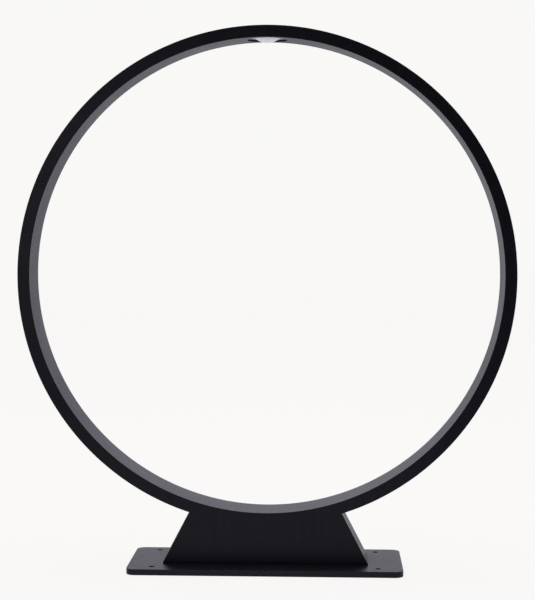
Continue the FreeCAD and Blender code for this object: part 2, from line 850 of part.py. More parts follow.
def make_pedestal_panels():
    """Front and rear panels: trapezoids whose top edge is cut to the hoop's outer circle."""
    panels = []
    for label, middle in (("pedestal_front_panel", "(wall - ring_depth) / 2"),
                          ("pedestal_rear_panel", "(ring_depth - wall) / 2")):
        body = new_body(label, "foot_floor", y=middle)
        shape = new_sketch(body, "XZ_Plane")
        top = "side_top - foot_floor"
        top_x = "(foot_half - (side_top - foot_floor) * foot_slope)"
        outline(shape, [("0 - foot_half", "0"), ("foot_half", "0"), (top_x, top), (f"0 - {top_x}", top)])
        pad(body, shape, "wall", both_ways=True)
        cut_to_hoop(body, "ring_outer", "foot_floor")
        panels.append(body)
    return panels


def make_pedestal_walls():
    """Leaning side walls between the panels; each runs up into the hoop's hollow, below the strip."""
    walls = []
    for label, side in (("pedestal_left_wall", "-1"), ("pedestal_right_wall", "1")):
        body = new_body(label, "foot_floor")
        shape = new_sketch(body, "XZ_Plane")
        top = "side_top - foot_floor"
        lean = "(side_top - foot_floor) * foot_slope"
        outline(
            shape,
            [
                (f"{side} * foot_half", "0"),
                (f"{side} * (foot_half - {lean})", top),
                (f"{side} * (foot_half - side_width - {lean})", top),
                (f"{side} * (foot_half - side_width)", "0"),
            ],
        )
        pad(body, shape, "2 * hollow_half", both_ways=True)
        cut_to_hoop(body, "bridge_inner", "foot_floor")
        walls.append(body)
    return walls


def make_corner_blocks():
    """Tapped blocks welded to the panels in the foot's lower corners."""
    body = new_body("corner_block", "foot_floor", x="block_x", y="block_y")
    shape = new_sketch(body, "XY_Plane")
    half = "block_length / 2"
    rectangle(shape, f"0 - {half}", f"0 - {half}", half, half)
    pad(body, shape, "block_height")
    thread = new_sketch(body, "XY_Plane")
    circle(thread, "0", "0", "base_thread")
    pocket(body, thread)
    return mirrored_group("corner_blocks", body, Vector(1, 0, 0), Vector(0, 1, 0))


def four_corners(sketch, x, y, diameter):
    for sign_x in ("1", "-1"):
        for sign_y in ("1", "-1"):
            circle(sketch, f"{sign_x} * ({x})", f"{sign_y} * ({y})", diameter)


def make_pedestal_gasket():
    """Rubber frame between foot and base plate, wider at its ends where the base screws pass."""
    body = new_body("pedestal_gasket", "plate_thickness")
    shape = new_sketch(body, "XY_Plane")
    edge_y = "ring_depth / 2"
    inner_y = "(ring_depth / 2 - foot_gasket_band)"
    rectangle(shape, "0 - foot_half", f"0 - {edge_y}", "foot_half", edge_y)
    rectangle(shape, "0 - opening_half", f"0 - {inner_y}", "opening_half", inner_y)
    four_corners(shape, "block_x", "block_y", "base_thread + base_clearance")
    pad(body, shape, "foot_gasket_thickness")
    return body


def make_base_screws():
    body = new_body("base_screw", x="block_x", y="block_y")
    countersunk_screw(
        body, "head_sink", "base_screw_length", "base_thread", "base_head", "base_socket", upward=False
    )
    return mirrored_group("base_screws", body, Vector(1, 0, 0), Vector(0, 1, 0))


# ---------------------------------------------------------------------------
# Base plate and cable gland
# ---------------------------------------------------------------------------
def make_base_plate():
    """Plate with rounded corners, fixing holes, countersinks below, gland thread and blind tapped holes."""
    body = new_body("base_plate")
    shape = new_sketch(body, "XY_Plane")
    rounded_rectangle(shape, "plate_length / 2", "plate_width / 2", "plate_corner")
    slab = pad(body, shape, "plate_thickness")
    doc.recompute()
    rim = [
        f"Edge{number}"
        for number, edge in enumerate(slab.Shape.Edges, start=1)
        if abs(edge.BoundBox.ZMin - value("plate_thickness")) < TINY
    ]
    soft_edge = body.newObject("PartDesign::Fillet", "base_plate_edge")
    soft_edge.Base = (slab, rim)
    bind(soft_edge, "Radius", "plate_edge")
    through = new_sketch(body, "XY_Plane")
    four_corners(through, "fixing_spacing_x / 2", "fixing_spacing_y / 2", "fixing_hole")
    four_corners(through, "block_x", "block_y", "base_thread + base_clearance")
    circle(through, "0", "0", "gland_thread")
    pocket(body, through)
    cones = new_sketch(body, "XY_Plane")
    four_corners(cones, "block_x", "block_y", "base_head + 2 * head_sink")
    sink = pocket(body, cones, "(base_head + 2 * head_sink - base_thread - base_clearance) / 2")
    sink.TaperAngle = COUNTERSINK
    blind = new_sketch(body, "XY_Plane", "blind_hole_floor")
    circle(blind, "driver_start - driver_ear / 2", "0", "small_thread")
    circle(blind, "driver_end + driver_ear / 2", "0", "small_thread")
    for side in ("1", "-1"):
        circle(blind, f"terminal_x + {side} * pole_pitch / 2", "0 - terminal_offset", "small_thread")
    circle(blind, "earth_x", "wire_row", "earth_thread")
    pocket(body, blind)
    return body


def make_gland_body():
    """Gland screwed down into the plate, its spigot level with the underside."""
    body = new_body("gland_body")
    spigot = new_sketch(body, "XY_Plane")
    circle(spigot, "0", "0", "gland_thread")
    pad(body, spigot, "gland_top")
    flange = new_sketch(body, "XY_Plane", "plate_thickness")
    hexagon(flange, "gland_flats")
    pad(body, flange, "gland_flange")
    bore = new_sketch(body, "XY_Plane")
    circle(bore, "0", "0", "gland_bore")
    pocket(body, bore)
    seat = new_sketch(body, "XY_Plane", "gland_top")
    circle(seat, "0", "0", "gland_seal_diameter")
    pocket(body, seat, "gland_seal_length", along_normal=False)
    return body


def make_gland_seal():
    body = new_body("gland_seal", "gland_top - gland_seal_length")
    tube = new_sketch(body, "XY_Plane")
    circle(tube, "0", "0", "gland_seal_diameter")
    circle(tube, "0", "0", "gland_seal_bore")
    pad(body, tube, "gland_seal_length")
    return body


def make_gland_nut():
    """Hexagon cap nut that squeezes the seal on the cable."""
    body = new_body("gland_nut", "nut_floor")
    shape = new_sketch(body, "XY_Plane")
    hexagon(shape, "gland_nut_flats")
    height = "gland_top - nut_floor"
    pad(body, shape, f"{height} + gland_nut_roof")
    thread = new_sketch(body, "XY_Plane")
    circle(thread, "0", "0", "gland_thread")
    pocket(body, thread, height)
    way = new_sketch(body, "XY_Plane")
    circle(way, "0", "0", "gland_bore + gland_nut_clearance")
    pocket(body, way)
    return body


# ---------------------------------------------------------------------------
# Driver, terminals and earth
# ---------------------------------------------------------------------------
def make_driver_case():
    """Open-topped plastic tray with a screw ear at each end."""
    body = new_body("driver_case", "plate_thickness")
    half = "driver_width / 2"
    shape = new_sketch(body, "XY_Plane")
    rectangle(shape, "driver_start", f"0 - {half}", "driver_end", half)
    pad(body, shape, "driver_height - driver_wall")
    ears = new_sketch(body, "XY_Plane")
    rectangle(ears, "driver_start - driver_ear", "0 - driver_ear", "driver_end + driver_ear", "driver_ear")
    pad(body, ears, "driver_wall")
    hollow = new_sketch(body, "XY_Plane", "driver_wall")
    inside = "(driver_width / 2 - driver_wall)"
    rectangle(hollow, "driver_start + driver_wall", f"0 - {inside}", "driver_end - driver_wall", inside)
    pocket(body, hollow)
    holes = new_sketch(body, "XY_Plane")
    circle(holes, "driver_start - driver_ear / 2", "0", "small_thread + small_clearance")
    circle(holes, "driver_end + driver_ear / 2", "0", "small_thread + small_clearance")
    pocket(body, holes)
    return body


def make_driver_lid():
    body = new_body("driver_lid", "driver_lid")
    shape = new_sketch(body, "XY_Plane")
    rectangle(shape, "driver_start", "0 - driver_width / 2", "driver_end", "driver_width / 2")
    pad(body, shape, "driver_wall")
    return body


def make_driver_board():
    """Circuit board on four short legs inside the driver."""
    body = new_body("driver_board", "driver_deck")
    shape = new_sketch(body, "XY_Plane")
    inside = "(driver_width / 2 - driver_wall - driver_board_gap)"
    near = "driver_start + driver_wall + driver_board_gap"
    far = "driver_end - driver_wall - driver_board_gap"
    rectangle(shape, near, f"0 - {inside}", far, inside)
    pad(body, shape, "driver_board_thickness")
    legs = new_sketch(body, "XY_Plane")
    for x in (f"{near} + driver_leg", f"{far} - driver_leg"):
        for sign in ("1", "-1"):
            circle(legs, x, f"{sign} * ({inside} - driver_leg)", "driver_leg")
    stand = pad(body, legs, "driver_board_lift")
    stand.Reversed = True
    return body


def make_driver_transformer():
    """Wound core with a taped coil, standing on the board."""
    middle = "(driver_start + driver_end) / 2 + can_diameter / 2"
    body = new_body("driver_transformer", "driver_deck + driver_board_thickness", x=middle)
    core = new_sketch(body, "XY_Plane")
    rectangle(core, "0 - core_width / 2", "0 - core_length / 2", "core_width / 2", "core_length / 2")
    pad(body, core, "core_height")
    coil = new_sketch(body, "XY_Plane", "coil_lift")
    circle(coil, "0", "0", "coil_diameter")
    pad(body, coil, "core_height - 2 * coil_lift")
    return body


def make_driver_capacitors():
    """Two round capacitors near the input end of the board."""
    near = "driver_start + driver_wall + 2 * driver_board_gap + can_diameter / 2"
    body = new_body("driver_capacitors", "driver_deck + driver_board_thickness", x=near)
    cans = new_sketch(body, "XY_Plane")
    circle(cans, "0", "can_spacing / 2", "can_diameter")
    circle(cans, "0", "0 - can_spacing / 2", "can_diameter")
    pad(body, cans, "can_height")
    return body


def make_driver_screws():
    group = []
    for x in ("driver_start - driver_ear / 2", "driver_end + driver_ear / 2"):
        body = new_body("driver_screw", "plate_thickness", x=x)
        pan_screw(body, "driver_wall", "(driver_wall + blind_depth)", "small_thread", "pan_head")
        group.append(body)
    return compound("driver_screws", group)


def pole_x(number):
    return f"({number} * pole_pitch)"


def make_terminal_block():
    """Three-pole screw terminal strip with two fixing holes between its poles."""
    body = new_body("terminal_block", "plate_thickness", x="terminal_x", y="0 - terminal_offset")
    half_x = "1.5 * pole_pitch"
    half_y = "terminal_width / 2"
    shape = new_sketch(body, "XY_Plane")
    rectangle(shape, f"0 - {half_x}", f"0 - {half_y}", half_x, half_y)
    pad(body, shape, "terminal_height")
    fixings = new_sketch(body, "XY_Plane")
    for side in ("1", "-1"):
        circle(fixings, f"{side} * pole_pitch / 2", "0", "small_thread")
    pocket(body, fixings)
    heads = new_sketch(body, "XY_Plane", "terminal_height")
    for side in ("1", "-1"):
        circle(heads, f"{side} * pole_pitch / 2", "0", "terminal_head")
    pocket(body, heads, "terminal_height - fixing_seat", along_normal=False)
    ways = new_sketch(body, "XZ_Plane")
    for number in (-1, 0, 1):
        circle(ways, pole_x(number), "insert_lift", "insert_diameter")
    pocket(body, ways, both_ways=True)
    shafts = new_sketch(body, "XY_Plane", "insert_lift")
    for number in (-1, 0, 1):
        for sign in ("1", "-1"):
            circle(shafts, pole_x(number), f"{sign} * terminal_width / 4", "terminal_shaft")
    pocket(body, shafts)
    return body


def make_terminal_inserts():
    """Brass barrels, one in each pole, bored for the wires and tapped for the clamping screws."""
    body = new_body("terminal_inserts", "insert_height", x="terminal_x", y="0 - terminal_offset")
    barrels = new_sketch(body, "XZ_Plane")
    for number in (-1, 0, 1):
        circle(barrels, pole_x(number), "0", "insert_diameter")
        circle(barrels, pole_x(number), "0", "insert_bore")
    pad(body, barrels, "terminal_width - 2 * insert_inset", both_ways=True)
    threads = new_sketch(body, "XY_Plane")
    for number in (-1, 0, 1):
        for sign in ("1", "-1"):
            circle(threads, pole_x(number), f"{sign} * terminal_width / 4", "terminal_thread")
    pocket(body, threads)
    return body


def make_terminal_screws():
    """Six slotted grub screws, their tips just above the wires."""
    body = new_body("terminal_screws", "insert_height", x="terminal_x", y="0 - terminal_offset")
    shanks = new_sketch(body, "XY_Plane", "insert_bore / 2")
    slots = new_sketch(body, "XY_Plane", "insert_bore / 2 + terminal_screw_length")
    for number in (-1, 0, 1):
        for sign in ("1", "-1"):
            y = f"{sign} * terminal_width / 4"
            circle(shanks, pole_x(number), y, "terminal_thread")
            rectangle(
                slots,
                f"{pole_x(number)} - terminal_thread",
                f"{y} - terminal_slot / 2",
                f"{pole_x(number)} + terminal_thread",
                f"{y} + terminal_slot / 2",
            )
    pad(body, shanks, "terminal_screw_length")
    pocket(body, slots, "terminal_screw_length / 5", along_normal=False)
    return body


def make_terminal_fixing_screws():
    group = []
    for side in ("1", "-1"):
        x = f"terminal_x + {side} * pole_pitch / 2"
        body = new_body("terminal_fixing_screw", "plate_thickness", x=x, y="0 - terminal_offset")
        pan_screw(body, "fixing_seat", "(fixing_seat + blind_depth)", "small_thread", "terminal_head")
        group.append(body)
    return compound("terminal_fixing_screws", group)


def make_earth_lug():
    """Flat ring of a crimp lug under the earth screw, with its barrel towards the terminals."""
    body = new_body("earth_lug", "plate_thickness", x="earth_x", y="wire_row")
    ring = new_sketch(body, "XY_Plane")
    circle(ring, "0", "0", "lug_diameter")
    pad(body, ring, "lug_thickness")
    barrel = new_sketch(body, "YZ_Plane", "lug_diameter / 2 - lug_lap")
    circle(barrel, "0", "wire_diameter / 2 + lug_thickness", "wire_diameter + 2 * lug_thickness")
    pad(body, barrel, "lug_barrel")
    hole = new_sketch(body, "XY_Plane")
    circle(hole, "0", "0", "earth_thread")
    pocket(body, hole)
    return body


def make_earth_screw():
    body = new_body("earth_screw", "plate_thickness", x="earth_x", y="wire_row")
    pan_screw(body, "lug_thickness", "(lug_thickness + blind_depth)", "earth_thread", "earth_head")
    return body


def make_wires():
    """Three single cores out of the terminals: live and neutral to the driver, earth to its lug."""
    thick = value("wire_diameter")
    face = value("terminal_face")
    row = value("wire_row")
    low = value("insert_height")
    high = value("driver_port + neutral_above_port")
    poles = [value(f"terminal_x + {pole_x(number)}") for number in (-1, 0, 1)]
    driver = value("driver_start")
    live = [Vector(poles[2], face, low), Vector(poles[2], row, low), Vector(driver, row, low)]
    neutral = [
        Vector(poles[1], face, low),
        Vector(poles[1], row, (low * 2 + high) / 3),
        Vector(poles[1] + value("neutral_climb"), row, high),
        Vector(driver, row, high),
    ]
    barrel = Vector(value("barrel_end"), row, value("plate_thickness + lug_thickness") + thick / 2)
    earth = [
        Vector(poles[0], face, low),
        Vector(poles[0], row, (low * 3 + barrel.z) / 4),
        barrel + Vector(2 * thick, 0, 0),
        barrel,
    ]
    return [
        make_tube("live_wire", tangent_edges(live), thick),
        make_tube("neutral_wire", tangent_edges(neutral), thick),
        make_tube("earth_wire", tangent_edges(earth), thick),
    ]


# ---------------------------------------------------------------------------
# Build, check and write
# ---------------------------------------------------------------------------
nodes = [
    make_ring_channel(),
    make_ring_cover_strip(),
    make_strip_bridges(),
    make_strip_screws(),
    make_lens_gasket(),
    make_lamp_lens(),
    make_led_board(),
    make_led_chips(),
    make_thermal_pad(),
    make_lamp_clamp_plate(),
    make_lamp_posts(),
    make_lamp_screws(),
    make_lamp_lead(),
    make_lamp_cores(),
    make_lead_clips(),
    *make_pedestal_panels(),
    *make_pedestal_walls(),
    make_corner_blocks(),
    make_pedestal_gasket(),
    make_base_screws(),
    make_base_plate(),
    make_gland_body(),
    make_gland_seal(),
    make_gland_nut(),
    make_driver_case(),
    make_driver_lid(),
    make_driver_board(),
    make_driver_transformer(),
    make_driver_capacitors(),
    make_driver_screws(),
    make_terminal_block(),
    make_terminal_inserts(),
    make_terminal_screws(),
    make_terminal_fixing_screws(),
    make_earth_lug(),
    make_earth_screw(),
    *make_wires(),
]
doc.recompute()

for item in doc.Objects:
    if "Invalid" in item.State or "Error" in item.State:
        raise RuntimeError(f"{item.Label} failed to compute")
    if item.TypeId in ("PartDesign::Pocket", "PartDesign::Groove"):
        if item.BaseFeature.Shape.Volume - item.Shape.Volume < LEAST_CUT:
            raise RuntimeError(f"{item.Label} cut nothing")
for node in nodes:
    if node.Shape.isNull() or not node.Shape.isValid() or not node.Shape.Solids:
        raise RuntimeError(f"{node.Label} has no valid solid")

os.makedirs("parts", exist_ok=True)
for node in nodes:
    node.Shape.exportStep(f"parts/{node.Label}.step")
print(f"{len(nodes)} nodes written")
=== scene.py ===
import math

import bmesh
import bpy
from mathutils import Matrix, Vector


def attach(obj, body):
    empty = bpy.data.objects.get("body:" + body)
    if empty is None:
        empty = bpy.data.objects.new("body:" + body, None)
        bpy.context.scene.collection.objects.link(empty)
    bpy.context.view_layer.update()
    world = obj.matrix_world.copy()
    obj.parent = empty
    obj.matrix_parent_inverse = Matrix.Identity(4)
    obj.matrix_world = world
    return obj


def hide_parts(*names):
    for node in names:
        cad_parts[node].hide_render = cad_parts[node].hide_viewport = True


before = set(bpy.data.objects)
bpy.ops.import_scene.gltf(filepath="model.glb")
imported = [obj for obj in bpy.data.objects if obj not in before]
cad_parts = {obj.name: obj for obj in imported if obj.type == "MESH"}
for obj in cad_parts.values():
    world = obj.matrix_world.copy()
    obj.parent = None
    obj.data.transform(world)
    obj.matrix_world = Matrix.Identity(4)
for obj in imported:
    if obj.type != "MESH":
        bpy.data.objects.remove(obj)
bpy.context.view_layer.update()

# Camera. A long lens a little above the hoop's centre and to the right of its middle, 1.6 m in front, turned
# back towards it and looking slightly down.
MM = 0.001  # sizes below are millimetres unless they say metres; Blender's own are metres
camera_spot = (61.4, -1597.0, 350.4)
turn_left, tilt_down, roll = 0.038, 0.0493, 0.0025  # radians
camera_data = bpy.data.cameras.new("camera")
camera_data.lens = 94.56
camera_data.sensor_width = 36.0
camera_data.clip_start = 0.05
camera_data.clip_end = 60.0
camera = bpy.data.objects.new("camera", camera_data)
bpy.context.scene.collection.objects.link(camera)
facing = Vector((-math.sin(turn_left) * math.cos(tilt_down), math.cos(turn_left) * math.cos(tilt_down),
                 -math.sin(tilt_down)))
level = Vector((math.cos(turn_left), math.sin(turn_left), 0))
upright = level.cross(facing)
across = level * math.cos(roll) + upright * math.sin(roll)
above = upright * math.cos(roll) - level * math.sin(roll)
camera.matrix_world = Matrix.Translation(Vector(camera_spot) * MM) @ Matrix(
    (across, above, -facing)).transposed().to_4x4()
bpy.context.scene.camera = camera


# Studio. A pale sweep lit evenly from behind and above, with the dark of the room behind the camera, so a
# black finish shows dark where it faces the camera and grey where it mirrors the sweep.
def linear(code):
    """A hex sRGB colour as linear red, green, blue and alpha."""
    channels = [int(code[at:at + 2], 16) / 255 for at in (1, 3, 5)]
    return (*(c / 12.92 if c <= 0.04045 else ((c + 0.055) / 1.055) ** 2.4 for c in channels), 1.0)


def add(tree, kind, sockets=None, **settings):
    """Adds a shader node. sockets maps an input's name or number to a value or to another node's output."""
    node = tree.nodes.new("ShaderNode" + kind)
    for name, setting in settings.items():
        setattr(node, name, setting)
    for name, given in (sockets or {}).items():
        if isinstance(given, bpy.types.NodeSocket):
            tree.links.new(given, node.inputs[name])
        else:
            node.inputs[name].default_value = given
    return node


def new_material(name):
    """An empty node material and its tree."""
    material = bpy.data.materials.new(name)
    material.use_nodes = True
    material.node_tree.nodes.clear()
    return material, material.node_tree


bpy.context.scene.view_settings.view_transform = "Standard"
pale = "#F9F8F6"
room = bpy.data.worlds.new("studio_room")
room.use_nodes = True
tree = room.node_tree
tree.nodes.clear()
# The sweep is lit behind the object and fades to dark at its sides; the light rises with height.
direction = add(tree, "TexCoord").outputs["Generated"]
heading = add(tree, "SeparateXYZ", {"Vector": direction})
sweep = add(tree, "MapRange", {"Value": heading.outputs["Y"], "From Min": -0.05, "From Max": 0.5},
            interpolation_type="SMOOTHSTEP")
rise = add(tree, "MapRange", {"Value": heading.outputs["Z"], "From Min": 0.12, "From Max": 0.34,
                              "To Min": 0.89, "To Max": 1.5}, interpolation_type="SMOOTHSTEP")
strength = add(tree, "Math", {0: sweep.outputs["Result"], 1: rise.outputs["Result"]}, operation="MULTIPLY")
lit = add(tree, "Background", {"Color": linear("#F0EEFA"), "Strength": strength.outputs[0]})
# Looked at directly, the room is one even pale tone, whatever light it gives the object. So is the floor.
seen = add(tree, "Background", {"Color": linear(pale), "Strength": 1.0})
seen_directly = add(tree, "LightPath").outputs["Is Camera Ray"]
both = add(tree, "MixShader", {0: seen_directly, 1: lit.outputs[0], 2: seen.outputs[0]})
add(tree, "OutputWorld", {"Surface": both.outputs[0]})
bpy.context.scene.world = room

floor_paper, tree = new_material("pale_paper_sweep")
place = add(tree, "TexCoord").outputs["Object"]
grain = add(tree, "TexNoise", {"Vector": place, "Scale": 1000 / 2.5})
# The paper lights the object most from just in front of it, and the lit part ends a metre out.
depth = add(tree, "SeparateXYZ", {"Vector": place})
front_end = add(tree, "MapRange", {"Value": depth.outputs["Y"], "From Min": -1.0, "From Max": -0.25},
                interpolation_type="SMOOTHSTEP")
behind = add(tree, "MapRange", {"Value": depth.outputs["Y"], "From Min": -0.05, "From Max": 0.35,
                                "To Min": 1.15, "To Max": 0.88}, interpolation_type="SMOOTHSTEP")
lit_part = add(tree, "Math", {0: front_end.outputs["Result"], 1: behind.outputs["Result"]},
               operation="MULTIPLY")
seen_directly = add(tree, "LightPath").outputs["Is Camera Ray"]
glow = add(tree, "Mix", {"Factor": seen_directly, "A": lit_part.outputs[0], "B": 0.94})
tone = add(tree, "Mix", {"Factor": seen_directly, "A": linear("#EFEEF9"), "B": linear(pale)},
           data_type="RGBA")
paper = add(tree, "BsdfPrincipled", {
    "Base Color": linear("#3A3A39"), "Roughness": 0.95, "Specular IOR Level": 0.1,
    "Emission Color": tone.outputs["Result"], "Emission Strength": glow.outputs["Result"],
    "Normal": add(tree, "Bump", {"Height": grain.outputs["Fac"], "Strength": 0.02,
                                 "Distance": 0.2 * MM}).outputs[0]})
add(tree, "OutputMaterial", {"Surface": paper.outputs[0]})
floor_half, floor_drop = 12000.0, 0.2
shape = bmesh.new()
bmesh.ops.create_grid(shape, x_segments=1, y_segments=1, size=floor_half * MM,
                      matrix=Matrix.Translation((0, 0, -floor_drop * MM)))
floor_mesh = bpy.data.meshes.new("floor")
shape.to_mesh(floor_mesh)
shape.free()
floor_mesh.materials.append(floor_paper)
floor = bpy.data.objects.new("floor", floor_mesh)
bpy.context.scene.collection.objects.link(floor)
# Each softbox: where it hangs, what it points at and its width, in metres, and its power in watts.
for name, spot, aim, width, power in (
        ("overhead_softbox", (0.0, -0.1, 2.6), (0.0, 0.0, 0.0), 1.8, 56.0),
        ("left_softbox", (-0.80, -2.4, 0.52), (-0.2, 0.0, 0.40), 0.4, 5.6)):
    lamp = bpy.data.lights.new(name, "AREA")
    lamp.size = width
    lamp.energy = power
    lamp.color = linear("#F5F1FF")[:3]
    holder = bpy.data.objects.new(name, lamp)
    holder.location = spot
    holder.visible_camera = False
    holder.rotation_euler = (Vector(aim) - Vector(spot)).to_track_quat("-Z", "Y").to_euler()
    bpy.context.scene.collection.objects.link(holder)

# Base plate: 6 mm aluminium plate with rounded corners, drilled for four fixings, the foot's screws from
# below and the cable gland. Black polyester powder is sprayed on and baked: a satin black with a faint
# orange peel, and a fine grit, drawn coarser than real to show, that breaks up what it mirrors.
powder_coat, tree = new_material("black_polyester_powder_coat")
place = add(tree, "TexCoord").outputs["Object"]
peel = add(tree, "TexNoise", {"Vector": place, "Scale": 1000 / 2.2, "Detail": 2.0, "Roughness": 0.45})
grit = add(tree, "TexNoise", {"Vector": place, "Scale": 1000 / 1.4, "Detail": 3.0, "Roughness": 0.65})
cloud = add(tree, "TexNoise", {"Vector": place, "Scale": 1000 / 60.0, "Detail": 2.0, "Roughness": 0.5})
# Under the coat the sheet's rolling lines stand upright, 5 mm apart and drawn wider than real to show.
stretched = add(tree, "Mapping", {"Vector": place, "Scale": (1.0, 1.0, 0.04)})
lines = add(tree, "TexNoise", {"Vector": stretched.outputs[0], "Scale": 1000 / 5.0, "Detail": 2.0})
tint = add(tree, "MapRange", {"Value": grit.outputs["Fac"], "From Min": 0.3, "From Max": 0.7})
speck = add(tree, "Mix", {"Factor": tint.outputs["Result"], "A": linear("#0A090E"), "B": linear("#201F25")},
            data_type="RGBA")
streak = add(tree, "MapRange", {"Value": lines.outputs["Fac"], "From Min": 0.35, "From Max": 0.65})
black = add(tree, "Mix", {"Factor": streak.outputs["Result"], "A": speck.outputs["Result"],
                          "B": linear("#141318")}, data_type="RGBA")
mirror = add(tree, "MapRange", {"Value": grit.outputs["Fac"], "From Min": 0.3, "From Max": 0.7,
                                "To Min": 0.31, "To Max": 0.49})
haze = add(tree, "MapRange", {"Value": cloud.outputs["Fac"], "From Min": 0.3, "From Max": 0.7,
                              "To Min": -0.02, "To Max": 0.02})
rough = add(tree, "Math", {0: mirror.outputs["Result"], 1: haze.outputs["Result"]}, operation="ADD")
bumps = add(tree, "Bump", {"Height": grit.outputs["Fac"], "Strength": 0.35, "Distance": 0.06 * MM})
wavy = add(tree, "Bump", {"Height": peel.outputs["Fac"], "Strength": 0.5, "Distance": 0.08 * MM,
                          "Normal": bumps.outputs[0]})
coat = add(tree, "BsdfPrincipled", {
    "Base Color": black.outputs["Result"], "Roughness": rough.outputs[0], "IOR": 1.5,
    "Specular IOR Level": 0.14, "Specular Tint": linear("#F9F7FF"),
    "Normal": wavy.outputs[0]})
add(tree, "OutputMaterial", {"Surface": coat.outputs[0]})


def points_round(x, y, radius, start, sweep_angle, steps):
    """Points on an arc, angles in degrees, both ends included."""
    angles = [math.radians(start + sweep_angle * step / steps) for step in range(steps + 1)]
    return [(x + radius * math.cos(angle), y + radius * math.sin(angle)) for angle in angles]


def slab(points, low, high, along="z"):
    """A closed solid of an outline given in millimetres, between two heights. Along y, points are (x, z)."""
    shape = bmesh.new()
    rows = []
    for height in (low, high):
        spots = [(x, y, height) if along == "z" else (x, height, y) for x, y in points]
        rows.append([shape.verts.new(Vector(spot) * MM) for spot in spots])
    shape.faces.new(rows[0])
    shape.faces.new(rows[1])
    for first in range(len(points)):
        after = (first + 1) % len(points)
        shape.faces.new((rows[0][first], rows[0][after], rows[1][after], rows[1][first]))
    bmesh.ops.recalc_face_normals(shape, faces=shape.faces)
    return shape


def lathe(profile, steps, places):
    """Closed solids turned about Z from a profile of (radius, height) in millimetres that starts and ends on
    the axis, one for each placement."""
    shape = bmesh.new()
    for spot in places:
        rows = []
        for radius, height in profile:
            turns = 1 if radius == 0 else steps
            rows.append([shape.verts.new(spot @ (Vector((
                radius * math.cos(math.tau * turn / steps), radius * math.sin(math.tau * turn / steps),
                height)) * MM)) for turn in range(turns)])
        for lower, upper in zip(rows, rows[1:]):
            for turn in range(steps):
                after = (turn + 1) % steps
                ring = [lower[turn % len(lower)], lower[after % len(lower)],
                        upper[after % len(upper)], upper[turn % len(upper)]]
                shape.faces.new(dict.fromkeys(ring))
    bmesh.ops.recalc_face_normals(shape, faces=shape.faces)
    return shape


def piece_of(shape, name, material):
    """An object made of the shape, at its place in the frame, in a material if it has one."""
    mesh = bpy.data.meshes.new(name)
    shape.to_mesh(mesh)
    shape.free()
    piece = bpy.data.objects.new(name, mesh)
    bpy.context.scene.collection.objects.link(piece)
    if material:
        mesh.materials.append(material)
    return piece


def cut(piece, shape):
    """Takes the shape out of the piece."""
    tool = piece_of(shape, "cutter", None)
    difference = piece.modifiers.new("cut", "BOOLEAN")
    difference.operation = "DIFFERENCE"
    difference.solver = "EXACT"
    difference.object = tool
    graph = bpy.context.evaluated_depsgraph_get()
    piece.data = bpy.data.meshes.new_from_object(piece.evaluated_get(graph))
    piece.modifiers.clear()
    bpy.data.objects.remove(tool)


def soften(piece, width, sharp_angle=30.0, segments=3):
    """Rounds edges sharper than an angle in degrees by a width in millimetres, or leaves them sharp where
    the width is 0, and shades the piece smooth between them with its flat faces kept flat."""
    if width:
        rounding = piece.modifiers.new("rounding", "BEVEL")
        rounding.width = width * MM
        rounding.segments = segments
        rounding.limit_method = "ANGLE"
        rounding.angle_limit = math.radians(sharp_angle)
    piece.data.shade_smooth()
    if not width:
        piece.data.set_sharp_from_angle(angle=math.radians(sharp_angle))
    even = piece.modifiers.new("flat_faces", "WEIGHTED_NORMAL")
    even.keep_sharp = True
    even.weight = 100


plate_half_x, plate_half_y, plate_corner, plate_top = 138.0, 54.0, 9.0, 6.0
corner_steps, drill_steps, gland_steps, plate_edge = 14, 40, 64, 1.1
outline = []
for side_x, side_y, start in ((1, 1, 0), (-1, 1, 90), (-1, -1, 180), (1, -1, 270)):
    outline += points_round(side_x * (plate_half_x - plate_corner), side_y * (plate_half_y - plate_corner),
                            plate_corner, start, 90, corner_steps)
plate = piece_of(slab(outline, 0, plate_top), "base_plate_coated", powder_coat)
fixing_x, fixing_y, fixing_radius = 113.0, 40.0, 2.65
screw_x, screw_y, screw_hole, screw_sink = 88.0, 17.0, 2.75, 5.1
gland_hole = 8.0
overcut = 1.0  # how far a cutter runs past the face that it opens
past_top = plate_top + overcut
corners = [(x, y) for x in (-1, 1) for y in (-1, 1)]
cut(plate, lathe([(0, -overcut), (fixing_radius, -overcut), (fixing_radius, past_top), (0, past_top)],
                 drill_steps,
                 [Matrix.Translation(Vector((x * fixing_x, y * fixing_y, 0)) * MM) for x, y in corners]))
sink_depth = screw_sink - screw_hole
cut(plate, lathe([(0, -overcut), (screw_sink + overcut, -overcut), (screw_hole, sink_depth),
                  (screw_hole, past_top), (0, past_top)], drill_steps,
                 [Matrix.Translation(Vector((x * screw_x, y * screw_y, 0)) * MM) for x, y in corners]))
cut(plate, lathe([(0, -overcut), (gland_hole, -overcut), (gland_hole, past_top), (0, past_top)],
                 gland_steps, [Matrix.Identity(4)]))
soften(plate, plate_edge, segments=5)
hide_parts("base_plate")
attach(plate, "root")


# Cable gland: black nylon, moulded, its threaded body screwed down into the plate, with a cap nut to squeeze
# a rubber seal ring onto a cable. The mould leaves a fine even spark texture, satin to the eye, and the
# rubber is dull with a faint grey bloom.
def finish_nodes(material, *names):
    """Gives CAD solids a finish in their own material slots."""
    for name in names:
        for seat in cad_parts[name].material_slots:
            seat.material = material


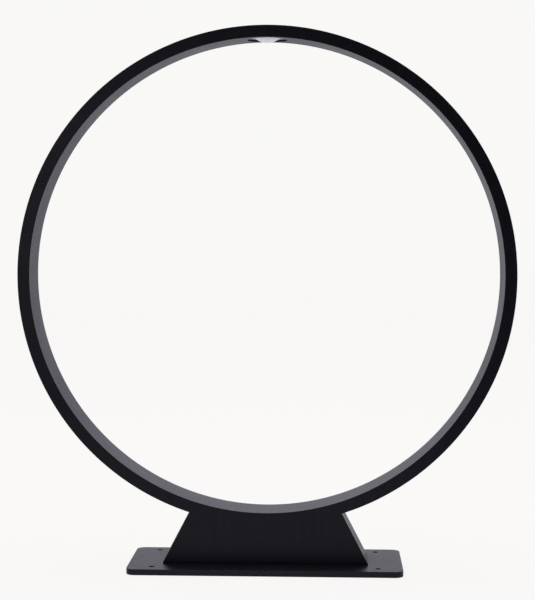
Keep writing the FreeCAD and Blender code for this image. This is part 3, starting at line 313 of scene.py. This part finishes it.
def moulded_plastic(name, dark, light, spark, roughness, ior, cloudy=0.0):
    """A moulded plastic: its colour drifts a little, and a spark texture of a width in millimetres, drawn
    coarser than real to show, breaks up its shine. cloudy lets light into it."""
    material, tree = new_material(name)
    place = add(tree, "TexCoord").outputs["Object"]
    sparks = add(tree, "TexVoronoi", {"Vector": place, "Scale": 1000 / spark}, feature="SMOOTH_F1")
    drift = add(tree, "TexNoise", {"Vector": place, "Scale": 1000 / 9.0, "Detail": 3.0})
    colour = add(tree, "Mix", {"Factor": drift.outputs["Fac"], "A": linear(dark), "B": linear(light)},
                 data_type="RGBA")
    shine = add(tree, "MapRange", {"Value": sparks.outputs["Distance"], "From Max": 0.8,
                                   "To Min": roughness - 0.06, "To Max": roughness + 0.08})
    relief = add(tree, "Bump", {"Height": sparks.outputs["Distance"], "Strength": 0.3,
                                "Distance": spark * MM * 0.1})
    plastic = add(tree, "BsdfPrincipled", {
        "Base Color": colour.outputs["Result"], "Roughness": shine.outputs["Result"], "IOR": ior,
        "Subsurface Weight": cloudy, "Subsurface Radius": (2 * MM, 2 * MM, 2 * MM),
        "Subsurface Scale": 1.0,
        "Normal": relief.outputs[0]})
    add(tree, "OutputMaterial", {"Surface": plastic.outputs[0]})
    return material


black_nylon = moulded_plastic("moulded_black_nylon", "#111113", "#1B1B1E", 0.5, 0.46, 1.53)
finish_nodes(black_nylon, "gland_body", "gland_nut")
black_rubber, tree = new_material("cured_black_epdm_rubber")
place = add(tree, "TexCoord").outputs["Object"]
bloom = add(tree, "TexNoise", {"Vector": place, "Scale": 1000 / 6.0, "Detail": 4.0})
pores = add(tree, "TexNoise", {"Vector": place, "Scale": 1000 / 0.4, "Detail": 2.0})
soot = add(tree, "Mix", {"Factor": bloom.outputs["Fac"], "A": linear("#09090A"), "B": linear("#161617")},
           data_type="RGBA")
dull = add(tree, "MapRange", {"Value": pores.outputs["Fac"], "To Min": 0.72, "To Max": 0.9})
rubber = add(tree, "BsdfPrincipled", {
    "Base Color": soot.outputs["Result"], "Roughness": dull.outputs["Result"], "IOR": 1.52,
    "Specular IOR Level": 0.3,
    "Normal": add(tree, "Bump", {"Height": pores.outputs["Fac"], "Strength": 0.3,
                                 "Distance": 0.05 * MM}).outputs[0]})
add(tree, "OutputMaterial", {"Surface": rubber.outputs[0]})
finish_nodes(black_rubber, "gland_seal")

# LED driver: a white polycarbonate case and lid with a light spark texture, screwed to the plate. The case
# is moulded with a foot at each end.
white_case = moulded_plastic("moulded_white_polycarbonate", "#D3D3CE", "#E0E0DC", 0.8, 0.5, 1.58, 0.05)
finish_nodes(white_case, "driver_case", "driver_lid")

# Driver board: glass cloth and epoxy laminate under a green solder mask. The cloth's weave and the copper
# tracks below the mask show as a faint relief and a lighter green.
wave = 1000 * math.pi / 10  # a wave node's scale for bands 1 mm apart
green_board, tree = new_material("green_solder_mask_on_glass_epoxy")
place = add(tree, "TexCoord").outputs["Object"]
warp = add(tree, "TexWave", {"Vector": place, "Scale": wave / 0.5}, bands_direction="X")
weft = add(tree, "TexWave", {"Vector": place, "Scale": wave / 0.5}, bands_direction="Y")
cloth = add(tree, "Math", {0: warp.outputs["Fac"], 1: weft.outputs["Fac"]}, operation="MULTIPLY")
tracks = add(tree, "TexBrick", {
    "Vector": place, "Scale": 1.0, "Mortar Size": 0.9 * MM, "Mortar Smooth": 0.1,
    "Brick Width": 11.0 * MM, "Row Height": 4.2 * MM, "Color1": (0, 0, 0, 1), "Color2": (0, 0, 0, 1),
    "Mortar": (1, 1, 1, 1)})
mask = add(tree, "Mix", {"Factor": tracks.outputs["Color"], "A": linear("#0F5A2C"), "B": linear("#2B7E45")},
           data_type="RGBA")
heights = add(tree, "Math", {0: cloth.outputs[0], 1: tracks.outputs["Color"]}, operation="ADD")
lacquer = add(tree, "BsdfPrincipled", {
    "Base Color": mask.outputs["Result"], "Roughness": 0.28, "IOR": 1.55, "Coat Weight": 0.3,
    "Coat Roughness": 0.15,
    "Normal": add(tree, "Bump", {"Height": heights.outputs[0], "Strength": 0.3,
                                 "Distance": 0.06 * MM}).outputs[0]})
add(tree, "OutputMaterial", {"Surface": lacquer.outputs[0]})
finish_nodes(green_board, "driver_board")

# Transformer: a ferrite core and bobbin wrapped in amber polyester tape. The turns lie 1.2 mm apart and
# their edges show as fine raised lines with a soft shine between.
amber_tape, tree = new_material("amber_polyester_tape")
place = add(tree, "TexCoord").outputs["Object"]
laps = add(tree, "TexWave", {"Vector": place, "Scale": wave / 1.2, "Distortion": 0.4, "Detail": 1.0},
           bands_direction="Z")
smear = add(tree, "TexNoise", {"Vector": place, "Scale": 1000 / 4.0, "Detail": 3.0})
amber = add(tree, "Mix", {"Factor": smear.outputs["Fac"], "A": linear("#A8741C"), "B": linear("#D9A93C")},
            data_type="RGBA")
shine = add(tree, "MapRange", {"Value": laps.outputs["Fac"], "To Min": 0.25, "To Max": 0.45})
tape = add(tree, "BsdfPrincipled", {
    "Base Color": amber.outputs["Result"], "Roughness": shine.outputs["Result"], "IOR": 1.64,
    "Normal": add(tree, "Bump", {"Height": laps.outputs["Fac"], "Strength": 0.5,
                                 "Distance": 0.08 * MM}).outputs[0]})
add(tree, "OutputMaterial", {"Surface": tape.outputs[0]})
finish_nodes(amber_tape, "driver_transformer")

# Capacitors: aluminium cans in a shrunk dark blue sleeve with a pale polarity stripe. The sleeve is glossy
# and puckers a little where it shrank.
blue_sleeve, tree = new_material("shrunk_blue_pvc_sleeve")
place = add(tree, "TexCoord").outputs["Object"]
stripe_edge, stripe_blur = 30.5, 0.2  # the stripe is on the side towards the plate's middle
sideways = add(tree, "SeparateXYZ", {"Vector": place})
stripe = add(tree, "MapRange", {"Value": sideways.outputs["X"], "From Min": stripe_edge * MM,
                                "From Max": (stripe_edge + stripe_blur) * MM, "To Min": 1.0, "To Max": 0.0})
pucker = add(tree, "TexNoise", {"Vector": place, "Scale": 1000 / 1.6, "Detail": 2.0})
deep = add(tree, "Mix", {"Factor": pucker.outputs["Fac"], "A": linear("#111A3A"), "B": linear("#1E2B57")},
           data_type="RGBA")
banded = add(tree, "Mix", {"Factor": stripe.outputs["Result"], "A": deep.outputs["Result"],
                           "B": linear("#B9BECB")}, data_type="RGBA")
shine = add(tree, "MapRange", {"Value": pucker.outputs["Fac"], "To Min": 0.14, "To Max": 0.3})
sleeve = add(tree, "BsdfPrincipled", {
    "Base Color": banded.outputs["Result"], "Roughness": shine.outputs["Result"], "IOR": 1.53,
    "Normal": add(tree, "Bump", {"Height": pucker.outputs["Fac"], "Strength": 0.2,
                                 "Distance": 0.1 * MM}).outputs[0]})
add(tree, "OutputMaterial", {"Surface": sleeve.outputs[0]})
finish_nodes(blue_sleeve, "driver_capacitors")


# Steel screws inside the light: zinc-plated and passivated, a pale metal with a faint blue and yellow drift,
# its turned heads finely ringed.
def worked_metal(name, dark, light, mark, stretch, smooth, coarse):
    """A bare or plated metal: tool marks of a width in millimetres, drawn out along X, Y or Z by stretch,
    run its roughness from smooth to coarse, and its colour drifts between two tones."""
    material, tree = new_material(name)
    place = add(tree, "TexCoord").outputs["Object"]
    drawn = add(tree, "Mapping", {"Vector": place, "Scale": stretch})
    marks = add(tree, "TexNoise", {"Vector": drawn.outputs[0], "Scale": 1000 / mark, "Detail": 4.0,
                                   "Roughness": 0.6})
    drift = add(tree, "TexNoise", {"Vector": place, "Scale": 1000 / 7.0, "Detail": 2.0})
    tone = add(tree, "Mix", {"Factor": drift.outputs["Fac"], "A": linear(dark), "B": linear(light)},
               data_type="RGBA")
    shine = add(tree, "MapRange", {"Value": marks.outputs["Fac"], "From Min": 0.3, "From Max": 0.7,
                                   "To Min": smooth, "To Max": coarse})
    metal = add(tree, "BsdfPrincipled", {
        "Base Color": tone.outputs["Result"], "Metallic": 1.0, "Roughness": shine.outputs["Result"],
        "Normal": add(tree, "Bump", {"Height": marks.outputs["Fac"], "Strength": 0.25,
                                     "Distance": mark * MM * 0.1}).outputs[0]})
    add(tree, "OutputMaterial", {"Surface": metal.outputs[0]})
    return material


zinc = worked_metal("zinc_plated_steel", "#AEB4BF", "#C6C6BC", 0.25, (1.0, 1.0, 0.2), 0.24, 0.4)
finish_nodes(zinc, "driver_screws", "terminal_screws", "terminal_fixing_screws")

# Terminal block: natural nylon, moulded, a milky off-white that light enters, on two screws. Each way holds
# a turned brass insert that the wire is clamped in.
natural_nylon = moulded_plastic("moulded_natural_nylon", "#D8D3C3", "#E6E2D5", 0.6, 0.5, 1.53, 0.15)
finish_nodes(natural_nylon, "terminal_block")
brass = worked_metal("turned_brass", "#B8904A", "#D2AE68", 0.2, (0.15, 1.0, 1.0), 0.2, 0.38)
finish_nodes(brass, "terminal_inserts")

# Earth point: a brass screw in the plate and a tinned brass ring lug under its head, stamped from strip and
# dipped, so its tin is soft-edged and slightly clouded.
finish_nodes(brass, "earth_screw")
tinned_brass = worked_metal("tinned_brass_strip", "#B3AFA2", "#CDCABF", 0.6, (0.2, 1.0, 1.0), 0.26, 0.44)
finish_nodes(tinned_brass, "earth_lug")


# Mains wires: stranded copper in extruded PVC, brown for live, blue for neutral, and green and yellow for
# earth. The strands show through as a faint lengthwise ripple, and the skin is satin.
def wire_skin(name, colour, stripe, ripple, period=None):
    """Extruded insulation in a colour and its darker tone, or in two colours in bands of a period in
    millimetres, with a ripple of a width in millimetres."""
    material, tree = new_material(name)
    place = add(tree, "TexCoord").outputs["Object"]
    strands = add(tree, "TexNoise", {"Vector": place, "Scale": 1000 / ripple, "Detail": 2.0})
    share = strands.outputs["Fac"]
    if period:
        bands = add(tree, "TexWave", {"Vector": place, "Scale": wave / period}, bands_direction="Z")
        share = add(tree, "MapRange", {"Value": bands.outputs["Fac"], "From Min": 0.62,
                                       "From Max": 0.68}).outputs["Result"]
    dyed = add(tree, "Mix", {"Factor": share, "A": linear(colour), "B": linear(stripe)}, data_type="RGBA")
    shine = add(tree, "MapRange", {"Value": strands.outputs["Fac"], "To Min": 0.3, "To Max": 0.5})
    skin = add(tree, "BsdfPrincipled", {
        "Base Color": dyed.outputs["Result"], "Roughness": shine.outputs["Result"], "IOR": 1.53,
        "Normal": add(tree, "Bump", {"Height": strands.outputs["Fac"], "Strength": 0.25,
                                     "Distance": ripple * MM * 0.1}).outputs[0]})
    add(tree, "OutputMaterial", {"Surface": skin.outputs[0]})
    return material


finish_nodes(wire_skin("brown_pvc_insulation", "#5A3220", "#6E4029", 0.9), "live_wire")
finish_nodes(wire_skin("blue_pvc_insulation", "#1B4FA8", "#2A63C2", 0.9), "neutral_wire")
finish_nodes(wire_skin("green_yellow_pvc_insulation", "#2E8B2E", "#E2D21E", 0.9, period=2.2), "earth_wire")

# Gasket between plate and foot: black rubber sheet, cut to a frame and squeezed to 1 mm, so its edge is a
# thin dark line under the foot.
finish_nodes(black_rubber, "pedestal_gasket")

# Corner blocks in the foot: sawn and milled aluminium, left bare, welded in the lower corners and tapped for
# the screws that come up through the plate.
bare_aluminium = worked_metal("bare_milled_aluminium", "#B9BBBD", "#CDCFD1", 0.5, (0.1, 1.0, 1.0), 0.3, 0.48)
finish_nodes(bare_aluminium, "corner_blocks")

# Screws from below and round the hoop: countersunk steel, black zinc-plated, a dark satin metal that is
# worn a little brighter in places.
black_steel = worked_metal("black_zinc_plated_steel", "#1D1D20", "#2E2E32", 0.3, (1.0, 1.0, 0.3), 0.34, 0.5)
finish_nodes(black_steel, "base_screws", "strip_screws")

# Foot: front and rear panels and two leaning walls of 2 mm aluminium sheet, welded to the hoop and ground
# flush, so that under the coat no seam shows where the panels meet the hoop's faces.
hoop_centre, hoop_outer, hoop_inner, hoop_face = 296.0, 250.0, 238.0, 25.0
foot_floor, foot_half, foot_lean, sheet = 7.0, 103.5, math.radians(27.5), 2.0
foot_edge = 0.45
arc_edge_limit = 20.0  # edges along the hoop's arc are shorter than this, and the foot's sides longer
touching = 0.01


def meeting_angle(radius, gap=0.0):
    """Angle from the hoop's bottom, in radians, at which a circle about its centre meets the foot's side."""
    offset = foot_half * math.cos(foot_lean) - (hoop_centre - foot_floor) * math.sin(foot_lean) + gap
    return foot_lean + math.asin(offset / radius)


def on_hoop(radius, angle):
    """(x, z) of a point at an angle in radians from the hoop's bottom towards +X."""
    return (radius * math.sin(angle), hoop_centre - radius * math.cos(angle))


joint = meeting_angle(hoop_outer)
joint_steps = 72
joint_angles = [joint * (1 - 2 * step / joint_steps) for step in range(joint_steps + 1)]
for name, node, side in (("foot_front_coated", "pedestal_front_panel", -1),
                         ("foot_rear_coated", "pedestal_rear_panel", 1)):
    outline = [(-foot_half, foot_floor), (foot_half, foot_floor)]
    outline += [on_hoop(hoop_outer, angle) for angle in joint_angles]
    near, far = sorted((side * hoop_face, side * (hoop_face - sheet)))
    shape = slab(outline, near, far, along="y")
    # Only the outer face's bottom and sides are rounded; its top meets the hoop's face flush.
    outside = [
        edge for edge in shape.edges
        if all(abs(vert.co.y - side * hoop_face * MM) < touching * MM for vert in edge.verts)
        and (all(vert.co.z < (foot_floor + touching) * MM for vert in edge.verts)
             or edge.calc_length() > arc_edge_limit * MM)
    ]
    bmesh.ops.bevel(shape, geom=outside, offset=foot_edge * MM, segments=3, profile=0.5, affect="EDGES")
    panel = piece_of(shape, name, powder_coat)
    soften(panel, 0)
    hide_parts(node)
    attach(panel, "root")
wall_width = sheet / math.cos(foot_lean)
wall_top_radius = 244.5  # the walls run up between the hoop's flanges
for name, node, side in (("foot_left_coated", "pedestal_left_wall", -1),
                         ("foot_right_coated", "pedestal_right_wall", 1)):
    outer_top = on_hoop(wall_top_radius, meeting_angle(wall_top_radius))
    inner_top = on_hoop(wall_top_radius, meeting_angle(wall_top_radius, -sheet))
    outline = [(side * x, z) for x, z in ((foot_half, foot_floor), outer_top, inner_top,
                                          (foot_half - wall_width, foot_floor))]
    wall = piece_of(slab(outline, -(hoop_face - sheet), hoop_face - sheet, along="y"), name, powder_coat)
    soften(wall, 0)
    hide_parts(node)
    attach(wall, "root")

# Hoop: a U-channel of 2 mm aluminium rolled to a circle, web inwards. Its flanges are the front and rear
# faces. The lamp's opening is bored through the web at the top.
web = 2.0
face_edge, outer_edge, hidden_edge = 0.6, 0.4, 0.01  # hidden: where the foot's panels meet the flanges
arc_steps = 4


def channel_section(edge):
    """The channel's section as (y, radius) points, its outer corners rounded by an edge radius."""
    bed = hoop_face - web
    front = points_round(-hoop_face + face_edge, hoop_inner + face_edge, face_edge, 180, 90, arc_steps)
    rear = points_round(hoop_face - face_edge, hoop_inner + face_edge, face_edge, 270, 90, arc_steps)
    rear_lip = points_round(hoop_face - edge, hoop_outer - edge, edge, 0, 90, arc_steps)
    front_lip = points_round(-hoop_face + edge, hoop_outer - edge, edge, 90, 90, arc_steps)
    hollow = [(bed, hoop_outer), (bed, hoop_inner + web), (-bed, hoop_inner + web), (-bed, hoop_outer)]
    return front + rear + rear_lip + hollow + front_lip


def rolled(sections, closed=True):
    """A solid swept round the hoop's axis through (angle from the bottom, section) pairs, or through
    sections whose points carry their own angles."""
    shape = bmesh.new()
    rows = []
    for angle, section in sections:
        row = []
        for y, radius, *own in section:
            x, z = on_hoop(radius, own[0] if own else angle)
            row.append(shape.verts.new(Vector((x, y, z)) * MM))
        rows.append(row)
    spans = list(zip(rows, rows[1:]))
    if closed:
        spans.append((rows[-1], rows[0]))
    else:
        shape.faces.new(rows[0])
        shape.faces.new(rows[-1])
    for before, after in spans:
        for at in range(len(before)):
            beside = (at + 1) % len(before)
            shape.faces.new((before[at], before[beside], after[beside], after[at]))
    bmesh.ops.recalc_face_normals(shape, faces=shape.faces)
    return shape


round_steps = 648
free_angles = [joint + (math.tau - 2 * joint) * step / round_steps for step in range(round_steps + 1)]
stations = [(angle, channel_section(outer_edge)) for angle in free_angles]
stations += [(angle + math.tau, channel_section(hidden_edge)) for angle in reversed(joint_angles[1:-1])]
hoop = piece_of(rolled(stations), "hoop_coated", powder_coat)
lamp_hole, lamp_steps, below_lamp, above_lamp = 20.0, 160, -8.0, 6.0
lamp_seat = Matrix.Translation((0, 0, (hoop_centre + hoop_inner) * MM))
# The cutter is turned half a step, so that none of its corners meets an edge of the hoop and leaves slivers.
cut(hoop, lathe([(0, below_lamp), (lamp_hole, below_lamp), (lamp_hole, above_lamp), (0, above_lamp)],
                lamp_steps, [lamp_seat @ Matrix.Rotation(math.pi / lamp_steps, 4, "Z")]))
soften(hoop, 0)
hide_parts("ring_channel")
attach(hoop, "root")

# Lens gasket: a washer of clear silicone sheet, die-cut, squeezed between the web and the lens flange to
# keep rain out. It is slightly milky, with a soft shine.
clear_silicone, tree = new_material("die_cut_clear_silicone")
place = add(tree, "TexCoord").outputs["Object"]
milk = add(tree, "TexNoise", {"Vector": place, "Scale": 1000 / 3.0, "Detail": 3.0})
tone = add(tree, "Mix", {"Factor": milk.outputs["Fac"], "A": linear("#B9BAB6"), "B": linear("#D3D3CF")},
           data_type="RGBA")
shine = add(tree, "MapRange", {"Value": milk.outputs["Fac"], "To Min": 0.35, "To Max": 0.55})
silicone = add(tree, "BsdfPrincipled", {
    "Base Color": tone.outputs["Result"], "Roughness": shine.outputs["Result"], "IOR": 1.41,
    "Transmission Weight": 0.35,
    "Normal": add(tree, "Bump", {"Height": milk.outputs["Fac"], "Strength": 0.2,
                                 "Distance": 0.1 * MM}).outputs[0]})
add(tree, "OutputMaterial", {"Surface": silicone.outputs[0]})
finish_nodes(clear_silicone, "lens_gasket")

# Lens: opal polycarbonate, moulded, a shallow dome in the hoop's bore on a flange that is pressed down onto
# the web from inside. Its frosted face scatters the light, so it is an even white with no glare. The frost
# is drawn coarser than real to show.
frosted, tree = new_material("frosted_opal_polycarbonate")
place = add(tree, "TexCoord").outputs["Object"]
frost = add(tree, "TexNoise", {"Vector": place, "Scale": 1000 / 0.5, "Detail": 3.0, "Roughness": 0.6})
flow = add(tree, "TexNoise", {"Vector": place, "Scale": 1000 / 14.0, "Detail": 2.0})
tone = add(tree, "Mix", {"Factor": flow.outputs["Fac"], "A": linear("#F0EFEE"), "B": linear("#F7F6F4")},
           data_type="RGBA")
shine = add(tree, "MapRange", {"Value": frost.outputs["Fac"], "From Min": 0.3, "From Max": 0.7,
                               "To Min": 0.38, "To Max": 0.55})
opal = add(tree, "BsdfPrincipled", {
    "Base Color": tone.outputs["Result"], "Roughness": shine.outputs["Result"], "IOR": 1.58,
    "Subsurface Weight": 0.25, "Subsurface Radius": (3 * MM, 3 * MM, 3.2 * MM),
    "Subsurface Scale": 1.0,
    "Normal": add(tree, "Bump", {"Height": frost.outputs["Fac"], "Strength": 0.25,
                                 "Distance": 0.06 * MM}).outputs[0]})
add(tree, "OutputMaterial", {"Surface": opal.outputs[0]})
dome_radius, dome_drop, dome_wall = 14.0, 6.0, 1.5
flange_radius, flange_floor, flange_top, flange_edge = 22.5, 2.8, 4.8, 0.3
dome_steps, lens_steps = 14, 96
fillet = 0.6  # the hollow that runs the dome into the flange
flange_rings = (15.4, 17.0, 19.0, 21.0)  # radii that let the flange's underside bend to the web


def dome_profile(floor, curve, radii):
    """(radius, height) points on a dome whose lowest point is at a floor height."""
    return [(radius, floor + curve - math.sqrt(curve ** 2 - radius ** 2)) for radius in radii]


curve = (dome_radius ** 2 + dome_drop ** 2) / (2 * dome_drop)
outer_radii = [(dome_radius - fillet) * step / dome_steps for step in range(dome_steps + 1)]
inner_radii = [(dome_radius - dome_wall) * (1 - step / dome_steps) for step in range(dome_steps + 1)]
profile = dome_profile(flange_floor - dome_drop, curve, outer_radii)
profile += [(dome_radius, flange_floor - fillet * 0.3), (dome_radius + fillet, flange_floor - fillet * 0.05)]
profile += [(radius, flange_floor) for radius in (*flange_rings, flange_radius - flange_edge)]
profile += [(flange_radius, flange_floor + flange_edge), (flange_radius, flange_top - flange_edge),
            (flange_radius - flange_edge, flange_top), (dome_radius - dome_wall + flange_edge, flange_top),
            (dome_radius - dome_wall, flange_top - flange_edge)]
profile += dome_profile(flange_floor - dome_drop + dome_wall, curve - dome_wall, inner_radii)
shape = lathe(profile, lens_steps, [lamp_seat])
# The flange's underside follows the web's curve across the hoop, and its top stays flat.
seat_radius = hoop_inner + flange_floor
seat_top = (hoop_centre + hoop_inner + (flange_floor + flange_top) / 2) * MM
for vert in shape.verts:
    away = Vector(vert.co.xy).length / MM
    if vert.co.z < seat_top and away > dome_radius - fillet:
        share = min(1.0, (away - dome_radius + fillet) / (2 * fillet))
        vert.co.z -= share * (seat_radius - math.sqrt(seat_radius ** 2 - (vert.co.x / MM) ** 2)) * MM
lens = piece_of(shape, "lens_frosted", frosted)
soften(lens, 0, sharp_angle=40)
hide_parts("lamp_lens")
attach(lens, "root")

# Light board: an aluminium disc with a tab, under a white solder mask that is slightly uneven over its
# copper tracks. The light packages soldered on it are filled with yellow phosphor silicone, finely grained.
white_mask, tree = new_material("white_solder_mask_on_aluminium")
place = add(tree, "TexCoord").outputs["Object"]
tracks = add(tree, "TexBrick", {
    "Vector": place, "Scale": 1.0, "Mortar Size": 0.5 * MM, "Mortar Smooth": 0.2,
    "Brick Width": 9.0 * MM, "Row Height": 5.0 * MM, "Color1": (0, 0, 0, 1), "Color2": (0, 0, 0, 1),
    "Mortar": (1, 1, 1, 1)})
ink_grain = add(tree, "TexNoise", {"Vector": place, "Scale": 1000 / 0.8, "Detail": 2.0})
under = add(tree, "Bump", {"Height": ink_grain.outputs["Fac"], "Strength": 0.15, "Distance": 0.05 * MM})
tone = add(tree, "Mix", {"Factor": tracks.outputs["Color"], "A": linear("#E8E8E2"), "B": linear("#D3D3CC")},
           data_type="RGBA")
shine = add(tree, "MapRange", {"Value": ink_grain.outputs["Fac"], "To Min": 0.25, "To Max": 0.45})
ink = add(tree, "BsdfPrincipled", {
    "Base Color": tone.outputs["Result"], "Roughness": shine.outputs["Result"], "IOR": 1.55,
    "Normal": add(tree, "Bump", {"Height": tracks.outputs["Color"], "Strength": 0.3, "Distance": 0.05 * MM,
                                 "Normal": under.outputs[0]}).outputs[0]})
add(tree, "OutputMaterial", {"Surface": ink.outputs[0]})
finish_nodes(white_mask, "led_board")
phosphor, tree = new_material("yellow_phosphor_silicone")
place = add(tree, "TexCoord").outputs["Object"]
grains = add(tree, "TexVoronoi", {"Vector": place, "Scale": 1000 / 0.15})
tone = add(tree, "Mix", {"Factor": grains.outputs["Distance"], "A": linear("#E9C43A"),
                         "B": linear("#F2DC7A")}, data_type="RGBA")
gel = add(tree, "BsdfPrincipled", {
    "Base Color": tone.outputs["Result"], "Roughness": 0.3, "IOR": 1.41,
    "Normal": add(tree, "Bump", {"Height": grains.outputs["Distance"], "Strength": 0.2,
                                 "Distance": 0.03 * MM}).outputs[0]})
add(tree, "OutputMaterial", {"Surface": gel.outputs[0]})
finish_nodes(phosphor, "led_chips")

# Thermal pad: silicone filled with ceramic powder, cut from sheet and laid between board and clamp plate.
# It is soft and grey, with a fine speckle and no shine.
thermal_pad, tree = new_material("ceramic_filled_silicone_pad")
place = add(tree, "TexCoord").outputs["Object"]
powder = add(tree, "TexNoise", {"Vector": place, "Scale": 1000 / 0.3, "Detail": 3.0, "Roughness": 0.7})
tone = add(tree, "Mix", {"Factor": powder.outputs["Fac"], "A": linear("#767C8A"), "B": linear("#9198A6")},
           data_type="RGBA")
dull = add(tree, "MapRange", {"Value": powder.outputs["Fac"], "To Min": 0.7, "To Max": 0.88})
putty = add(tree, "BsdfPrincipled", {
    "Base Color": tone.outputs["Result"], "Roughness": dull.outputs["Result"], "IOR": 1.45,
    "Normal": add(tree, "Bump", {"Height": powder.outputs["Fac"], "Strength": 0.3,
                                 "Distance": 0.05 * MM}).outputs[0]})
add(tree, "OutputMaterial", {"Surface": putty.outputs[0]})
finish_nodes(thermal_pad, "thermal_pad")

# Clamp plate, posts and screws: an aluminium plate that presses pad, board and lens onto the web and takes
# the heat, drawn down onto two posts by zinc-plated screws.
finish_nodes(bare_aluminium, "lamp_clamp_plate", "lamp_posts")
finish_nodes(zinc, "lamp_screws")

# Lamp lead: a black PVC jacket over two cores, from the driver up the hoop's hollow, held on the web by
# moulded nylon saddle clips. Its two cores reach the board's tab.
finish_nodes(wire_skin("black_pvc_jacket", "#131314", "#1D1D1F", 1.4), "lamp_lead")
finish_nodes(wire_skin("red_pvc_insulation", "#9E1C16", "#B92A22", 0.8), "lamp_cores")
finish_nodes(natural_nylon, "lead_clips")

# Bridges: aluminium bars across the hoop's hollow, sawn to length, welded between its flanges and tapped for
# the strip's screws. They are left bare, a bright metal with fine saw and mill marks.
finish_nodes(bare_aluminium, "strip_bridges")

# Cover strip: a rolled 2 mm strip that closes the hoop's outside, from one side of the foot round to the
# other, held by countersunk screws. A fine gap shows along each edge.
strip_half, strip_inner, strip_gap, strip_edge = 22.8, 248.0, 0.2, 0.25
edge_steps = 3
strip_section = points_round(-strip_half + strip_edge, hoop_outer - strip_edge, strip_edge, 180, -90,
                             edge_steps)
strip_section += points_round(strip_half - strip_edge, hoop_outer - strip_edge, strip_edge, 90, -90,
                              edge_steps)
strip_section += [(strip_half, strip_inner), (-strip_half, strip_inner)]
stations = []
for step in range(round_steps + 1):
    share = step / round_steps
    own = []
    for y, radius in strip_section:
        end = meeting_angle(radius, strip_gap)
        own.append((y, radius, end + (math.tau - 2 * end) * share))
    stations.append((0, own))
strip = piece_of(rolled(stations, closed=False), "cover_strip_coated", powder_coat)
screw_count, end_margin = 8, 20.0
hole_radius, head_radius, head_sink = 1.7, 2.8, 0.1
first_screw = joint + end_margin / hoop_outer
screw_seats = []
for number in range(screw_count):
    angle = first_screw + (math.tau - 2 * first_screw) * number / (screw_count - 1)
    screw_seats.append(Matrix.Translation((0, 0, hoop_centre * MM))
                       @ Matrix.Rotation(math.pi - angle, 4, "Y"))
cone_floor = hoop_outer - head_sink - (head_radius - hole_radius)
cut(strip, lathe([(0, strip_inner - overcut), (hole_radius, strip_inner - overcut),
                  (hole_radius, cone_floor), (head_radius, hoop_outer - head_sink),
                  (head_radius, hoop_outer + overcut), (0, hoop_outer + overcut)],
                 drill_steps, screw_seats))
soften(strip, 0)
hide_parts("ring_cover_strip")
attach(strip, "root")
